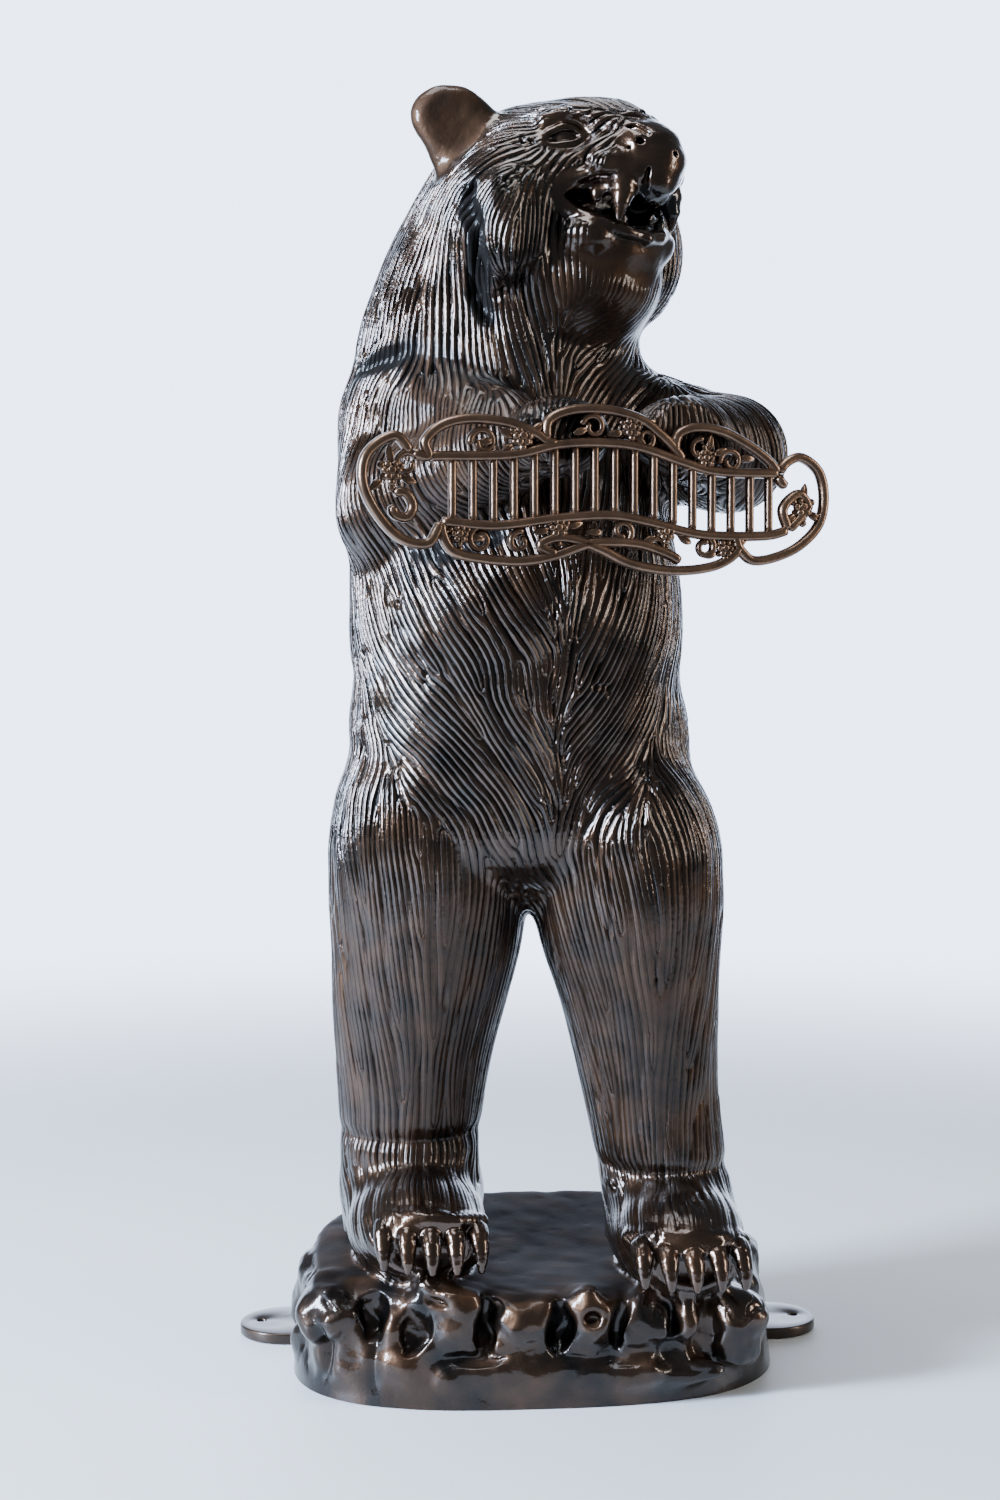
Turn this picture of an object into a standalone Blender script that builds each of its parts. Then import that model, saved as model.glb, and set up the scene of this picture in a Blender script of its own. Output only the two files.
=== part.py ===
# Standing bear of cast aluminium on a rock, holding an openwork plaque in its forepaws.
# Metres, +Z up. The bear stands facing -Y, and the origin is on the rock's flat underside.
import math

import bmesh
import bpy
import numpy as np
from mathutils import Matrix, Vector

# Driving dimensions
FIGURE_HEIGHT = 0.814  # from the top of the rock to the tips of the ears
ROCK_WIDTH = 0.346
ROCK_DEPTH = 0.254
ROCK_HEIGHT = 0.085
ROCK_SET_BACK = 0.025  # the rock's middle lies this far behind the origin
ROCK_LUMPS = 0.0085
LUMP_SPACING = 0.034
PEBBLE_SPACING = 0.018
ROCK_EDGE = 0.028  # rounding of the rock's upper edge
LUG_WIDTH = 0.070
LUG_REACH = 0.050  # how far a lug stands out from the rock
LUG_ROOT = 0.016  # how far it is let into the rock
LUG_THICKNESS = 0.008
LUG_HOLE = 0.007
LUG_HOLE_INSET = 0.016  # centre of the hole to the lug's tip
LUG_INSET = 0.074  # from the back of the rock to the lug's middle
SIGN_WIDTH = 0.318
SIGN_HEIGHT = 0.102
SIGN_THICKNESS = 0.009
SIGN_STROKE = 0.0060
SIGN_BARS = 17
LOCK_PITCH = 0.030  # from lock to lock across the fur
LOCK_LENGTH = 0.090
LOCK_DEPTH = 0.0085  # from crest to groove
CLAW_LENGTH = 0.034
CLAW_WIDTH = 0.0148
CLEARANCE = 0.0003  # between two pieces that touch
SKIN_GRID = 0.0052  # size of the facets before they are thinned
SIGN_GRID = 0.0020
BEAR_FACETS = 6150
SIGN_FACETS = 2500

# The figure's pose and proportions are drawn 814 units tall, standing on a rock 85 units high.
DRAWN_HEIGHT = 814.0
DRAWN_ROCK = 85.0
UNIT = FIGURE_HEIGHT / DRAWN_HEIGHT

# Upright forms, as rows from the bottom up: height, middle across, middle in depth,
# half width, half depth.
TRUNK = (
    (300, -6, 20, 30, 45),
    (330, -5, 19, 76, 80),
    (370, -7, 17, 110, 98),
    (420, -8, 15, 121, 107),
    (462, -10, 13, 123, 109),
    (492, -12, 12, 116, 104),
    (520, -13, 12, 119, 108),
    (577, -15, 14, 117, 107),
    (640, -18, 18, 112, 104),
    (704, -24, 20, 106, 100),
    (740, -26, 17, 99, 94),
    (770, -26, 13, 88, 86),
    (800, -24, 10, 78, 78),
    (835, -17, 8, 64, 66),
    (862, -10, 6, 40, 44),
)
RIGHT_LEG = (
    (92, -86, 20, 50, 54),
    (120, -88, 22, 53, 56),
    (152, -90, 26, 49, 52),
    (190, -88, 26, 53, 57),
    (226, -86, 22, 57, 63),
    (262, -83, 18, 62, 69),
    (300, -79, 14, 66, 76),
    (335, -78, 10, 69, 82),
    (380, -77, 7, 70, 88),
    (420, -74, 5, 66, 86),
    (462, -66, 8, 46, 66),
)
LEFT_LEG = (
    (92, 98, -4, 46, 50),
    (120, 97, -4, 47, 52),
    (147, 92, 2, 46, 50),
    (190, 85, 4, 48, 54),
    (226, 80, 3, 51, 60),
    (262, 77, 0, 55, 66),
    (300, 71, -4, 61, 74),
    (335, 68, -7, 66, 82),
    (380, 63, -6, 69, 88),
    (415, 58, -2, 62, 84),
    (450, 50, 4, 44, 64),
)
BODY_TURN = 10.0  # the trunk is turned this many degrees to its left
HEAD_TURN = 40.0
HEAD = (10.0, -10.0, 830.0)  # middle of the skull
SIGN_TURN = 17.0
SIGN_PLACE = (36.0, -165.0, 615.0)  # middle of the plaque's front

COLLECTION = "bear_statue"
CUTTERS = "cutters"


def turned(x, y, degrees):
    # A point turned about +Z.
    a = math.radians(degrees)
    return x * math.cos(a) - y * math.sin(a), x * math.sin(a) + y * math.cos(a)


def head_at(forward, right, up):
    # A place on the head, given forward, to the bear's right and up from the skull's middle.
    x, y = turned(-right, -forward, HEAD_TURN)
    return HEAD[0] + x, HEAD[1] + y, HEAD[2] + up


# Each foot's claws: first and last root, spread over five toes, and the turn of the foot.
CLAWS = {
    "right": ((-104, -72, 113), (-43, -76, 111), 6.0),
    "left": ((71, -89, 105), (136, -85, 102), 8.0),
}
CLAWS_PER_FOOT = 5
TOE_ARCH = 11.0  # how far the middle toes stand ahead of the outer ones
TOE = (8.0, 15.0, 11.0)  # half sizes of the lobe above a claw


def claw_roots(side):
    first, last, _ = CLAWS[side]
    roots = []
    for k in range(CLAWS_PER_FOOT):
        t = k / (CLAWS_PER_FOOT - 1)
        x, y, z = (a + (b - a) * t for a, b in zip(first, last))
        roots.append((x, y - TOE_ARCH * math.sin(math.pi * t), z))
    return roots


# Rounded masses: place, half sizes (across, in depth, up), turn, how softly they join.
MASSES = {
    "rump": ((-14, 70, 405), (84, 52, 70), 0, 30),
    "tail": ((-12, 124, 432), (17, 16, 24), 0, 10),
    "belly": ((2, -34, 540), (92, 74, 100), 12, 30),
    "withers": ((-30, 62, 690), (84, 56, 78), 0, 34),
    "right_foot": ((-84, -22, 106), (49, 66, 42), 4, 10),
    "right_toes": ((-76, -60, 102), (43, 30, 25), 6, 8),
    "left_foot": ((99, -38, 102), (46, 66, 42), 4, 10),
    "left_toes": ((104, -76, 95), (40, 29, 25), 6, 8),
    "skull": (head_at(0, 0, 0), (80, 86, 64), HEAD_TURN, 24),
    "brow": (head_at(48, 0, 32), (46, 36, 24), HEAD_TURN, 16),
    "right_cheek": (head_at(12, 58, -30), (38, 48, 50), HEAD_TURN, 20),
    "left_cheek": (head_at(18, -62, -34), (38, 46, 54), HEAD_TURN, 16),
    "throat": (head_at(34, 2, -74), (53, 57, 34), HEAD_TURN, 18),
    "muzzle": (head_at(82, 0, 4), (36, 45, 27), HEAD_TURN, 12),
    "nose": (head_at(116, 0, 10), (18, 13, 15), HEAD_TURN, 8),
    "right_lip": (head_at(92, 18, -10), (17, 28, 15), HEAD_TURN, 6),
    "left_lip": (head_at(92, -18, -10), (17, 28, 15), HEAD_TURN, 6),
    "jaw": (head_at(60, 0, -46), (35, 44, 18), HEAD_TURN, 5),
    "chin": (head_at(86, 0, -47), (21, 18, 13), HEAD_TURN, 6),
    "right_ear": (head_at(-14, 70, 34), (30, 14, 35), HEAD_TURN - 40, 8),
    "left_ear": (head_at(-14, -70, 34), (30, 14, 35), HEAD_TURN + 40, 8),
    "right_paw": ((8, -140, 650), (33, 30, 26), SIGN_TURN, 9),
    "left_paw": ((88, -119, 653), (31, 30, 25), SIGN_TURN, 9),
}
for foot in CLAWS:
    for number, (root_x, root_y, root_z) in enumerate(claw_roots(foot), 1):
        MASSES[f"{foot}_toe_{number}"] = ((root_x, root_y + 4, root_z + 3), TOE, CLAWS[foot][2], 5)
# Tapered limbs: one end, its radius, the other end, its radius, how softly they join.
LIMBS = {
    "right_upper_arm": ((-90, 8, 672), 49, (-97, -26, 608), 42, 14),
    "right_forearm": ((-94, -32, 618), 42, (-22, -114, 646), 31, 10),
    "right_shoulder": ((-86, -14, 684), 40, (-24, -104, 658), 28, 10),
    "left_upper_arm": ((68, 10, 668), 47, (132, -44, 648), 38, 12),
    "left_forearm": ((132, -46, 648), 38, (98, -106, 652), 28, 10),
}
# Hollows: place, half sizes, turn, how softly their edge is rounded.
HOLLOWS = {
    "mouth": (head_at(88, 0, -28), (25, 30, 7), HEAD_TURN, 4),
    "right_eye": (head_at(64, 37, 22), (13, 17, 8), HEAD_TURN, 8),
    "left_eye": (head_at(64, -37, 22), (13, 17, 8), HEAD_TURN, 8),
    "right_ear_cup": (head_at(0, 83, 38), (18, 9, 22), HEAD_TURN - 40, 6),
    "left_ear_cup": (head_at(0, -83, 38), (18, 9, 22), HEAD_TURN + 40, 6),
}


def to_metres(point):
    x, y, z = point
    return Vector((x * UNIT, y * UNIT, (z - DRAWN_ROCK) * UNIT + ROCK_HEIGHT))


def row_values(rows, z):
    # The four sizes of an upright form at each height, eased between its rows.
    table = np.array(rows, float)
    spread = (-12.0, -6.0, 0.0, 6.0, 12.0)
    return [
        sum(np.interp(z + shift, table[:, 0], table[:, k]) for shift in spread) / len(spread)
        for k in range(1, 5)
    ]


def column_distance(p, rows, turn):
    # Signed distance to an upright form whose cross-section is an ellipse at each height.
    x0, y0, half_x, half_y = row_values(rows, p[:, 2])
    x, y = turned(p[:, 0] - x0, p[:, 1] - y0, -turn)
    reach = np.sqrt((x / half_x) ** 2 + (y / half_y) ** 2) + 1e-9
    side = (1.0 - 1.0 / reach) * np.hypot(x, y)
    ends = np.maximum(rows[0][0] - p[:, 2], p[:, 2] - rows[-1][0])
    return np.maximum(side, ends)


def mass_distance(p, place, half, turn):
    # Signed distance to an ellipsoid.
    x, y = turned(p[:, 0] - place[0], p[:, 1] - place[1], -turn)
    q = np.stack([x, y, p[:, 2] - place[2]], 1) / np.array(half, float)
    k0 = np.linalg.norm(q, axis=1) + 1e-9
    k1 = np.linalg.norm(q / np.array(half, float), axis=1) + 1e-9
    return k0 * (k0 - 1.0) / k1


def limb_distance(p, start, start_radius, end, end_radius):
    # Signed distance to a round limb that tapers between two ends.
    a = np.array(start, float)
    axis = np.array(end, float) - a
    t = np.clip(((p - a) @ axis) / (axis @ axis), 0.0, 1.0)
    radius = start_radius + (end_radius - start_radius) * t
    return np.linalg.norm(p - a - t[:, None] * axis, axis=1) - radius


def join(a, b, softness):
    # Union of two distances with a rounded inner corner.
    h = np.clip(0.5 + 0.5 * (b - a) / softness, 0.0, 1.0)
    return b + (a - b) * h - softness * h * (1.0 - h)


def carve(a, b, softness):
    # The first distance with the second cut out of it.
    return -join(-a, b, softness)


def figure_distance(p):
    # Signed distance to the bear alone, in metres.
    q = (p - np.array([0.0, 0.0, ROCK_HEIGHT])) / UNIT + np.array([0.0, 0.0, DRAWN_ROCK])
    d = column_distance(q, TRUNK, BODY_TURN)
    d = join(d, column_distance(q, RIGHT_LEG, 0.0), 12.0)
    d = join(d, column_distance(q, LEFT_LEG, 8.0), 12.0)
    for place, half, turn, softness in MASSES.values():
        d = join(d, mass_distance(q, place, half, turn), softness)
    for start, start_radius, end, end_radius, softness in LIMBS.values():
        d = join(d, limb_distance(q, start, start_radius, end, end_radius), softness)
    for place, half, turn, softness in HOLLOWS.values():
        d = carve(d, mass_distance(q, place, half, turn), softness)
    return d * UNIT


ROCK_POWER = 2.8  # squareness of the rock's outline
ROCK_RISE = 0.075  # slope of the rock's top, up towards the back
ROCK_SKEW = 0.05  # the front falls back to the bear's left
ROCK_FLARE = 0.04


def rock_distance(p):
    # Signed distance to the rock before its lumps: a squarish outline under a gentle slope.
    x = p[:, 0]
    y = p[:, 1] - ROCK_SET_BACK - ROCK_SKEW * x
    grow = 1.0 - ROCK_FLARE * p[:, 2] / ROCK_HEIGHT
    half_x = 0.5 * ROCK_WIDTH * grow
    half_y = 0.5 * ROCK_DEPTH * grow
    power = ROCK_POWER
    ratio = (np.abs(x / half_x) ** power + np.abs(y / half_y) ** power) ** (1.0 / power)
    side = (1.0 - 1.0 / (ratio + 1e-9)) * np.hypot(x, y)
    top = p[:, 2] - ROCK_HEIGHT - ROCK_RISE * y
    return -join(-side, -top, ROCK_EDGE)


FOOT_FILLET = 0.008


def statue_distance(p):
    return join(figure_distance(p), rock_distance(p), FOOT_FILLET)


def slope(distance, p):
    # Direction in which the distance grows fastest, and the distance itself.
    step = 0.0005
    d = distance(p)
    g = np.stack([distance(p + step * np.eye(3)[k]) - d for k in range(3)], 1) / step
    return g, d


def lattice(seed):
    return np.random.default_rng(seed).uniform(-1.0, 1.0, (32, 32, 32))


def noise(p, cell, table):
    # Smooth random values in space, from random numbers at the corners of cubes.
    q = p / cell
    i = np.floor(q).astype(int)
    f = q - i
    f = f * f * (3.0 - 2.0 * f)
    total = np.zeros(len(p))
    for corner in range(8):
        offset = np.array([corner & 1, corner >> 1 & 1, corner >> 2 & 1])
        weight = np.prod(np.where(offset == 1, f, 1.0 - f), axis=1)
        j = (i + offset) & 31
        total += weight * table[j[:, 0], j[:, 1], j[:, 2]]
    return total


def ease(low, high, value):
    t = np.clip((value - low) / (high - low), 0.0, 1.0)
    return t * t * (3.0 - 2.0 * t)


def fur_direction(p):
    # The way the fur lies: down the body, inwards to the middle of the belly, and back from
    # the nose over the head.
    q = (p - np.array([0.0, 0.0, ROCK_HEIGHT])) / UNIT + np.array([0.0, 0.0, DRAWN_ROCK])
    x, y, z = q.T
    way = np.tile(np.array([0.0, 0.0, -1.0]), (len(q), 1))
    across = x - 10.0 - 0.035 * (z - 300.0)
    front = ease(20.0, -40.0, y) * ease(120.0, 80.0, np.abs(across))
    belly = front * ease(330.0, 370.0, z) * ease(660.0, 620.0, z)
    thigh = ease(10.0, 30.0, np.abs(across) - 0.75 * (z - 352.0)) * ease(470.0, 440.0, z)
    inward = belly * (1.0 - thigh) * 1.1
    way[:, 0] -= inward * np.tanh(across / 8.0)
    nose = np.array(head_at(128, 0, 8))
    back = q - nose
    far = np.linalg.norm(back, axis=1)
    pull = ease(760.0, 800.0, z) * ease(190.0, 90.0, far) * 1.8
    way += pull[:, None] * back / far[:, None]
    return way


def fur_depth(p):
    # How deep the locks are: nothing on nose, lips, ears, paws and toes, all on the body.
    q = (p - np.array([0.0, 0.0, ROCK_HEIGHT])) / UNIT + np.array([0.0, 0.0, DRAWN_ROCK])
    bare = np.ones(len(q))
    for name, margin in (
        ("muzzle", 14), ("nose", 10), ("jaw", 8), ("chin", 10), ("throat", 4),
        ("right_ear", 6), ("left_ear", 6), ("right_paw", 8), ("left_paw", 8),
        ("right_foot", 8), ("left_foot", 8), ("right_toes", 8), ("left_toes", 8),
    ):
        place, half, turn, _ = MASSES[name]
        bare *= ease(0.0, margin, mass_distance(q, place, half, turn) - 2.0)
    return bare


def locks(p, normal, pitch, length, table):
    # Random values drawn out along the fur's direction, so that they make strands.
    steps = 8
    total = noise(p, pitch, table)
    for sense in (-1.0, 1.0):
        at = p.copy()
        for _ in range(steps):
            way = fur_direction(at)
            way -= np.sum(way * normal, 1)[:, None] * normal
            way /= np.linalg.norm(way, axis=1)[:, None] + 1e-9
            at += sense * way * length / (2 * steps)
            total += noise(at, pitch, table)
    return total / total.std()


def ring_loft(bm, rows, turn, power, segments):
    # Walls between unlike cross-sections at rising heights, closed at both ends.
    rings = []
    for z, x0, y0, half_x, half_y in rows:
        ring = []
        for k in range(segments):
            a = 2.0 * math.pi * k / segments
            c, s = math.cos(a), math.sin(a)
            x = math.copysign(abs(c) ** (2.0 / power), c) * half_x
            y = math.copysign(abs(s) ** (2.0 / power), s) * half_y
            x, y = turned(x, y, turn)
            ring.append(bm.verts.new((x0 + x, y0 + y, z)))
        rings.append(ring)
    for low, high in zip(rings, rings[1:]):
        for k in range(segments):
            n = (k + 1) % segments
            bm.faces.new((low[k], low[n], high[n], high[k]))
    bm.faces.new(rings[0][::-1])
    bm.faces.new(rings[-1])


def rough_body():
    # All the masses as plain solids in one mesh, in metres.
    bm = bmesh.new()
    for rows, turn in ((TRUNK, BODY_TURN), (RIGHT_LEG, 0.0), (LEFT_LEG, 8.0)):
        scaled = []
        for z, x0, y0, half_x, half_y in rows:
            middle = to_metres((x0, y0, z))
            scaled.append((middle.z, middle.x, middle.y, half_x * UNIT, half_y * UNIT))
        ring_loft(bm, scaled, turn, 2.0, 32)
    for place, half, turn, _ in MASSES.values():
        matrix = (
            Matrix.Translation(to_metres(place))
            @ Matrix.Rotation(math.radians(turn), 4, "Z")
            @ Matrix.Diagonal((*[h * UNIT for h in half], 1.0))
        )
        bmesh.ops.create_uvsphere(bm, u_segments=24, v_segments=14, radius=1.0, matrix=matrix)
    for start, start_radius, end, end_radius, _ in LIMBS.values():
        a, b = to_metres(start), to_metres(end)
        aim = (b - a).to_track_quat("Z", "Y").to_matrix().to_4x4()
        bmesh.ops.create_cone(
            bm, cap_ends=True, segments=24, radius1=start_radius * UNIT,
            radius2=end_radius * UNIT, depth=(b - a).length,
            matrix=Matrix.Translation((a + b) / 2) @ aim,
        )
        for place, radius in ((a, start_radius), (b, end_radius)):
            bmesh.ops.create_uvsphere(
                bm, u_segments=20, v_segments=12, radius=radius * UNIT,
                matrix=Matrix.Translation(place),
            )
    wide, deep = 0.5 * ROCK_WIDTH, 0.5 * ROCK_DEPTH
    ring_loft(
        bm,
        [
            (-2 * SKIN_GRID, 0.0, ROCK_SET_BACK, wide, deep),
            (0.8 * ROCK_HEIGHT, 0.0, ROCK_SET_BACK, wide * 0.98, deep * 0.98),
            (ROCK_HEIGHT, 0.0, ROCK_SET_BACK, wide * 0.93, deep * 0.9),
        ],
        0.0, ROCK_POWER, 48,
    )
    mesh = bpy.data.meshes.new("rough")
    bm.to_mesh(mesh)
    bm.free()
    return mesh


def evaluated(ob):
    # The object's mesh as its modifiers leave it, with the object removed.
    graph = bpy.context.evaluated_depsgraph_get()
    mesh = bpy.data.meshes.new_from_object(ob.evaluated_get(graph))
    bpy.data.objects.remove(ob)
    return mesh


def place_object(name, mesh, collection):
    ob = bpy.data.objects.new(name, mesh)
    bpy.data.collections[collection].objects.link(ob)
    return ob


def remeshed(mesh, size):
    ob = place_object("remesh", mesh, COLLECTION)
    voxels = ob.modifiers.new("skin", "REMESH")
    voxels.mode = "VOXEL"
    voxels.voxel_size = size
    bpy.context.view_layer.update()
    return evaluated(ob)


def coordinates(mesh):
    values = np.empty(3 * len(mesh.vertices))
    mesh.vertices.foreach_get("co", values)
    return values.reshape(-1, 3)


def evened(p, edges, amount):
    # Each point moved towards the middle of its neighbours.
    total = np.zeros_like(p)
    count = np.bincount(edges.ravel(), minlength=len(p))
    for k in range(3):
        total[:, k] = np.bincount(edges[:, 0], p[edges[:, 1], k], len(p))
        total[:, k] += np.bincount(edges[:, 1], p[edges[:, 0], k], len(p))
    return p + amount * (total / count[:, None] - p)


def drawn_to_surface(p, edges, rounds):
    # Points pulled onto the smooth surface, and kept evenly spread on it.
    for k in range(rounds):
        g, d = slope(statue_distance, p)
        size = np.sum(g * g, 1) + 1e-6
        move = -(d / size)[:, None] * g
        far = np.linalg.norm(move, axis=1)
        move *= np.minimum(1.0, SKIN_GRID / (far + 1e-9))[:, None]
        p = p + move
        if k < rounds - 2:
            p = evened(p, edges, 0.4)
    return p


def statue_mesh():
    mesh = remeshed(rough_body(), SKIN_GRID)
    edges = np.empty(2 * len(mesh.edges), int)
    mesh.edges.foreach_get("vertices", edges)
    edges = edges.reshape(-1, 2)
    p = coordinates(mesh)
    flat = p[:, 2] < -0.5 * SKIN_GRID
    kept = p[flat].copy()
    p = drawn_to_surface(p, edges, 8)
    p[flat, 2] = kept[:, 2]
    normal, _ = slope(statue_distance, p)
    normal /= np.linalg.norm(normal, axis=1)[:, None] + 1e-9
    rock = ease(-0.004, 0.006, figure_distance(p) - rock_distance(p))
    strands = np.tanh(locks(p, normal, LOCK_PITCH, LOCK_LENGTH, lattice(3)))
    fur = 0.5 * LOCK_DEPTH * strands * fur_depth(p) * (1.0 - rock)
    upright = p * np.array([1.0, 1.0, 0.6])
    lumps = 0.5 - 2.0 * np.abs(noise(upright, LUMP_SPACING, lattice(7)))
    lumps += 0.5 * noise(p, PEBBLE_SPACING, lattice(11))
    hard = rock * ease(0.0, 0.012, p[:, 2]) * (1.0 - 0.6 * ease(0.5, 0.9, normal[:, 2]))
    p = p + normal * (fur + ROCK_LUMPS * lumps * hard)[:, None]
    p[flat, 2] = kept[:, 2]
    mesh.vertices.foreach_set("co", p.ravel())
    mesh.update()
    return mesh


def bronze(name, colour, roughness, metallic):
    material = bpy.data.materials.new(name)
    material.use_nodes = True
    shader = material.node_tree.nodes["Principled BSDF"]
    shader.inputs["Base Color"].default_value = (*colour, 1.0)
    shader.inputs["Roughness"].default_value = roughness
    shader.inputs["Metallic"].default_value = metallic
    return material


def cutter(name, mesh, matrix=None):
    ob = place_object(name, mesh, CUTTERS)
    if matrix is not None:
        ob.matrix_world = matrix
    ob.hide_render = True
    ob.display_type = "WIRE"
    return ob


def add_boolean(ob, other, operation):
    modifier = ob.modifiers.new(other.name, "BOOLEAN")
    modifier.operation = operation
    modifier.solver = "EXACT"
    modifier.object = other


def box_mesh(name, low, high):
    bm = bmesh.new()
    low, high = Vector(low), Vector(high)
    size = high - low
    bmesh.ops.create_cube(
        bm, size=1.0,
        matrix=Matrix.Translation((low + high) / 2) @ Matrix.Diagonal((*size, 1.0)),
    )
    mesh = bpy.data.meshes.new(name)
    bm.to_mesh(mesh)
    bm.free()
    return mesh


def spike_mesh(name, length, width, bend):
    # A tapered claw or tooth that starts at the origin, runs along -Y and bends down.
    rings, sides = 4, 6
    bm = bmesh.new()
    loops = []
    for i in range(rings):
        t = i / rings
        radius = 0.5 * width * (1.0 - t ** 2.2)
        angle = bend * t
        reach = length * t
        middle = Vector((0.0, -reach * math.cos(0.5 * angle), -reach * math.sin(0.5 * angle)))
        side = Matrix.Rotation(angle, 4, "X")
        loop = []
        for k in range(sides):
            a = 2.0 * math.pi * k / sides
            ring_point = Vector((radius * math.cos(a), 0.0, 1.25 * radius * math.sin(a)))
            loop.append(bm.verts.new(middle + side @ ring_point))
        loops.append(loop)
    tip = bm.verts.new((0.0, -length * math.cos(0.5 * bend), -length * math.sin(0.5 * bend)))
    for low, high in zip(loops, loops[1:]):
        for k in range(sides):
            n = (k + 1) % sides
            bm.faces.new((low[k], low[n], high[n], high[k]))
    for k in range(sides):
        bm.faces.new((loops[-1][k], loops[-1][(k + 1) % sides], tip))
    bm.faces.new(loops[0][::-1])
    bmesh.ops.recalc_face_normals(bm, faces=bm.faces)
    mesh = bpy.data.meshes.new(name)
    bm.to_mesh(mesh)
    bm.free()
    return mesh


CLAW_BEND = 50.0
CLAW_SLOPE = 42.0
CLAW_FAN = 10.0
# Long teeth in the upper jaw, and their length and width.
FANGS = {"right": (99, 20, -9), "left": (99, -20, -9)}
FANG_LENGTH = 0.021
FANG_WIDTH = 0.010


def claws_and_fangs():
    spikes = []
    for side, (_, _, turn) in CLAWS.items():
        for k, root in enumerate(claw_roots(side)):
            fan = turn + CLAW_FAN * (k / (CLAWS_PER_FOOT - 1) - 0.5)
            mesh = spike_mesh("claw", CLAW_LENGTH, CLAW_WIDTH, math.radians(CLAW_BEND))
            matrix = (
                Matrix.Translation(to_metres(root))
                @ Matrix.Rotation(math.radians(fan), 4, "Z")
                @ Matrix.Rotation(math.radians(CLAW_SLOPE), 4, "X")
            )
            spikes.append(cutter(f"claw_{side}_{k + 1}", mesh, matrix))
    for side, place in FANGS.items():
        mesh = spike_mesh("fang", FANG_LENGTH, FANG_WIDTH, math.radians(10.0))
        matrix = (
            Matrix.Translation(to_metres(head_at(*place)))
            @ Matrix.Rotation(math.radians(HEAD_TURN), 4, "Z")
            @ Matrix.Rotation(math.radians(80.0), 4, "X")
        )
        spikes.append(cutter(f"fang_{side}", mesh, matrix))
    return spikes


def sign_matrix():
    # The plaque's own frame: X along it, Y up it, Z out of its front.
    middle = to_metres(SIGN_PLACE)
    stand = Matrix.Rotation(math.radians(90.0), 4, "X")
    return Matrix.Translation(middle) @ Matrix.Rotation(math.radians(SIGN_TURN), 4, "Z") @ stand


# The plaque is drawn 318 by 102 units about its middle.
DRAWN_SIGN = (318.0, 102.0)
BAR_SPAN = (-100.0, 118.0)  # first and last upright bar
UPPER_RAIL = (
    (-116, 17), (-62, 19.5), (-30, 27), (0, 29), (26, 27), (56, 18.5), (81, 13), (125, 13),
)
LOWER_RAIL = (
    (-108, -23), (-72, -25), (-30, -19.5), (6, -17), (32, -20.5), (69, -28), (113, -28), (132, -24),
)
SCROLLS = (
    (
        (-127, 19), (-138, 29), (-155, 18), (-158, 0), (-149, -19), (-134, -34), (-117, -37),
        (-110, -28), (-108, -23),
    ),
    ((-139, -6), (-131, -6), (-126, -14), (-130, -21), (-138, -19), (-139, -13)),
    (
        (-127, 19), (-116, 17), (-118, 26), (-108, 36), (-90, 41), (-66, 40), (-46, 34), (-38, 29),
        (-30, 27),
    ),
    ((-38, 29), (-36, 42), (-20, 49), (4, 50), (26, 45), (40, 36), (52, 25), (56, 18.5)),
    ((50, 24), (53, 36), (66, 41), (84, 39), (102, 31), (116, 22), (125, 13)),
    (
        (125, 13), (130, 20), (141, 24), (154, 15), (158, -2), (154, -20), (140, -34), (122, -42),
        (106, -44), (97, -37), (93, -31),
    ),
    ((131, 4), (126, 8), (125, 13)),
    ((132, -24), (128, -10), (139, 0), (146, -8), (140, -16), (132, -24)),
    (
        (-108, -23), (-106, -33), (-99, -42), (-80, -46), (-54, -47), (-32, -43), (-12, -36),
        (4, -34), (26, -35), (46, -41), (55, -46),
    ),
    (
        (-30, -43), (-42, -37), (-32, -32), (-18, -33), (0, -39), (18, -47), (40, -51), (62, -51),
        (82, -47), (95, -38), (93, -28),
    ),
)
# Curls: middle, radius, first angle and turn in degrees.
CURLS = (
    (-80, 27, 9, 200, -330), (-6, 39, 8, 180, -330), (90, 20, 8, 200, -330), (68, 27, 7, 60, 300),
    (-82, -34, 8, 90, 330), (14, -27, 7, -60, 300), (72, -36, 7, 90, -330), (-56, -35, 7, 60, 300),
    (-130, 12, 8, 20, 300), (30, 33, 7, 200, 300), (38, -36, 6, 200, -300),
)
# Clusters of berries: middle and radius of a berry.
CLUSTERS = (
    (-54, 30, 3.4), (20, 38, 3.2), (72, 20, 3.0), (-30, -27, 3.2), (44, -28, 3.0), (86, -38, 3.0),
    (142, -10, 3.4), (-140, 6, 3.4), (-96, -32, 3.0),
)
BERRY_SIZE = 1.2  # a berry's size against its spacing in the cluster
CLUSTER = ((0, 0), (1.7, 0.4), (-1.6, 0.6), (0.8, 1.7), (-0.8, 1.8), (0.9, -1.5), (-0.9, -1.4))


def sign_scale():
    return SIGN_WIDTH / DRAWN_SIGN[0], SIGN_HEIGHT / DRAWN_SIGN[1]


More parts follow.
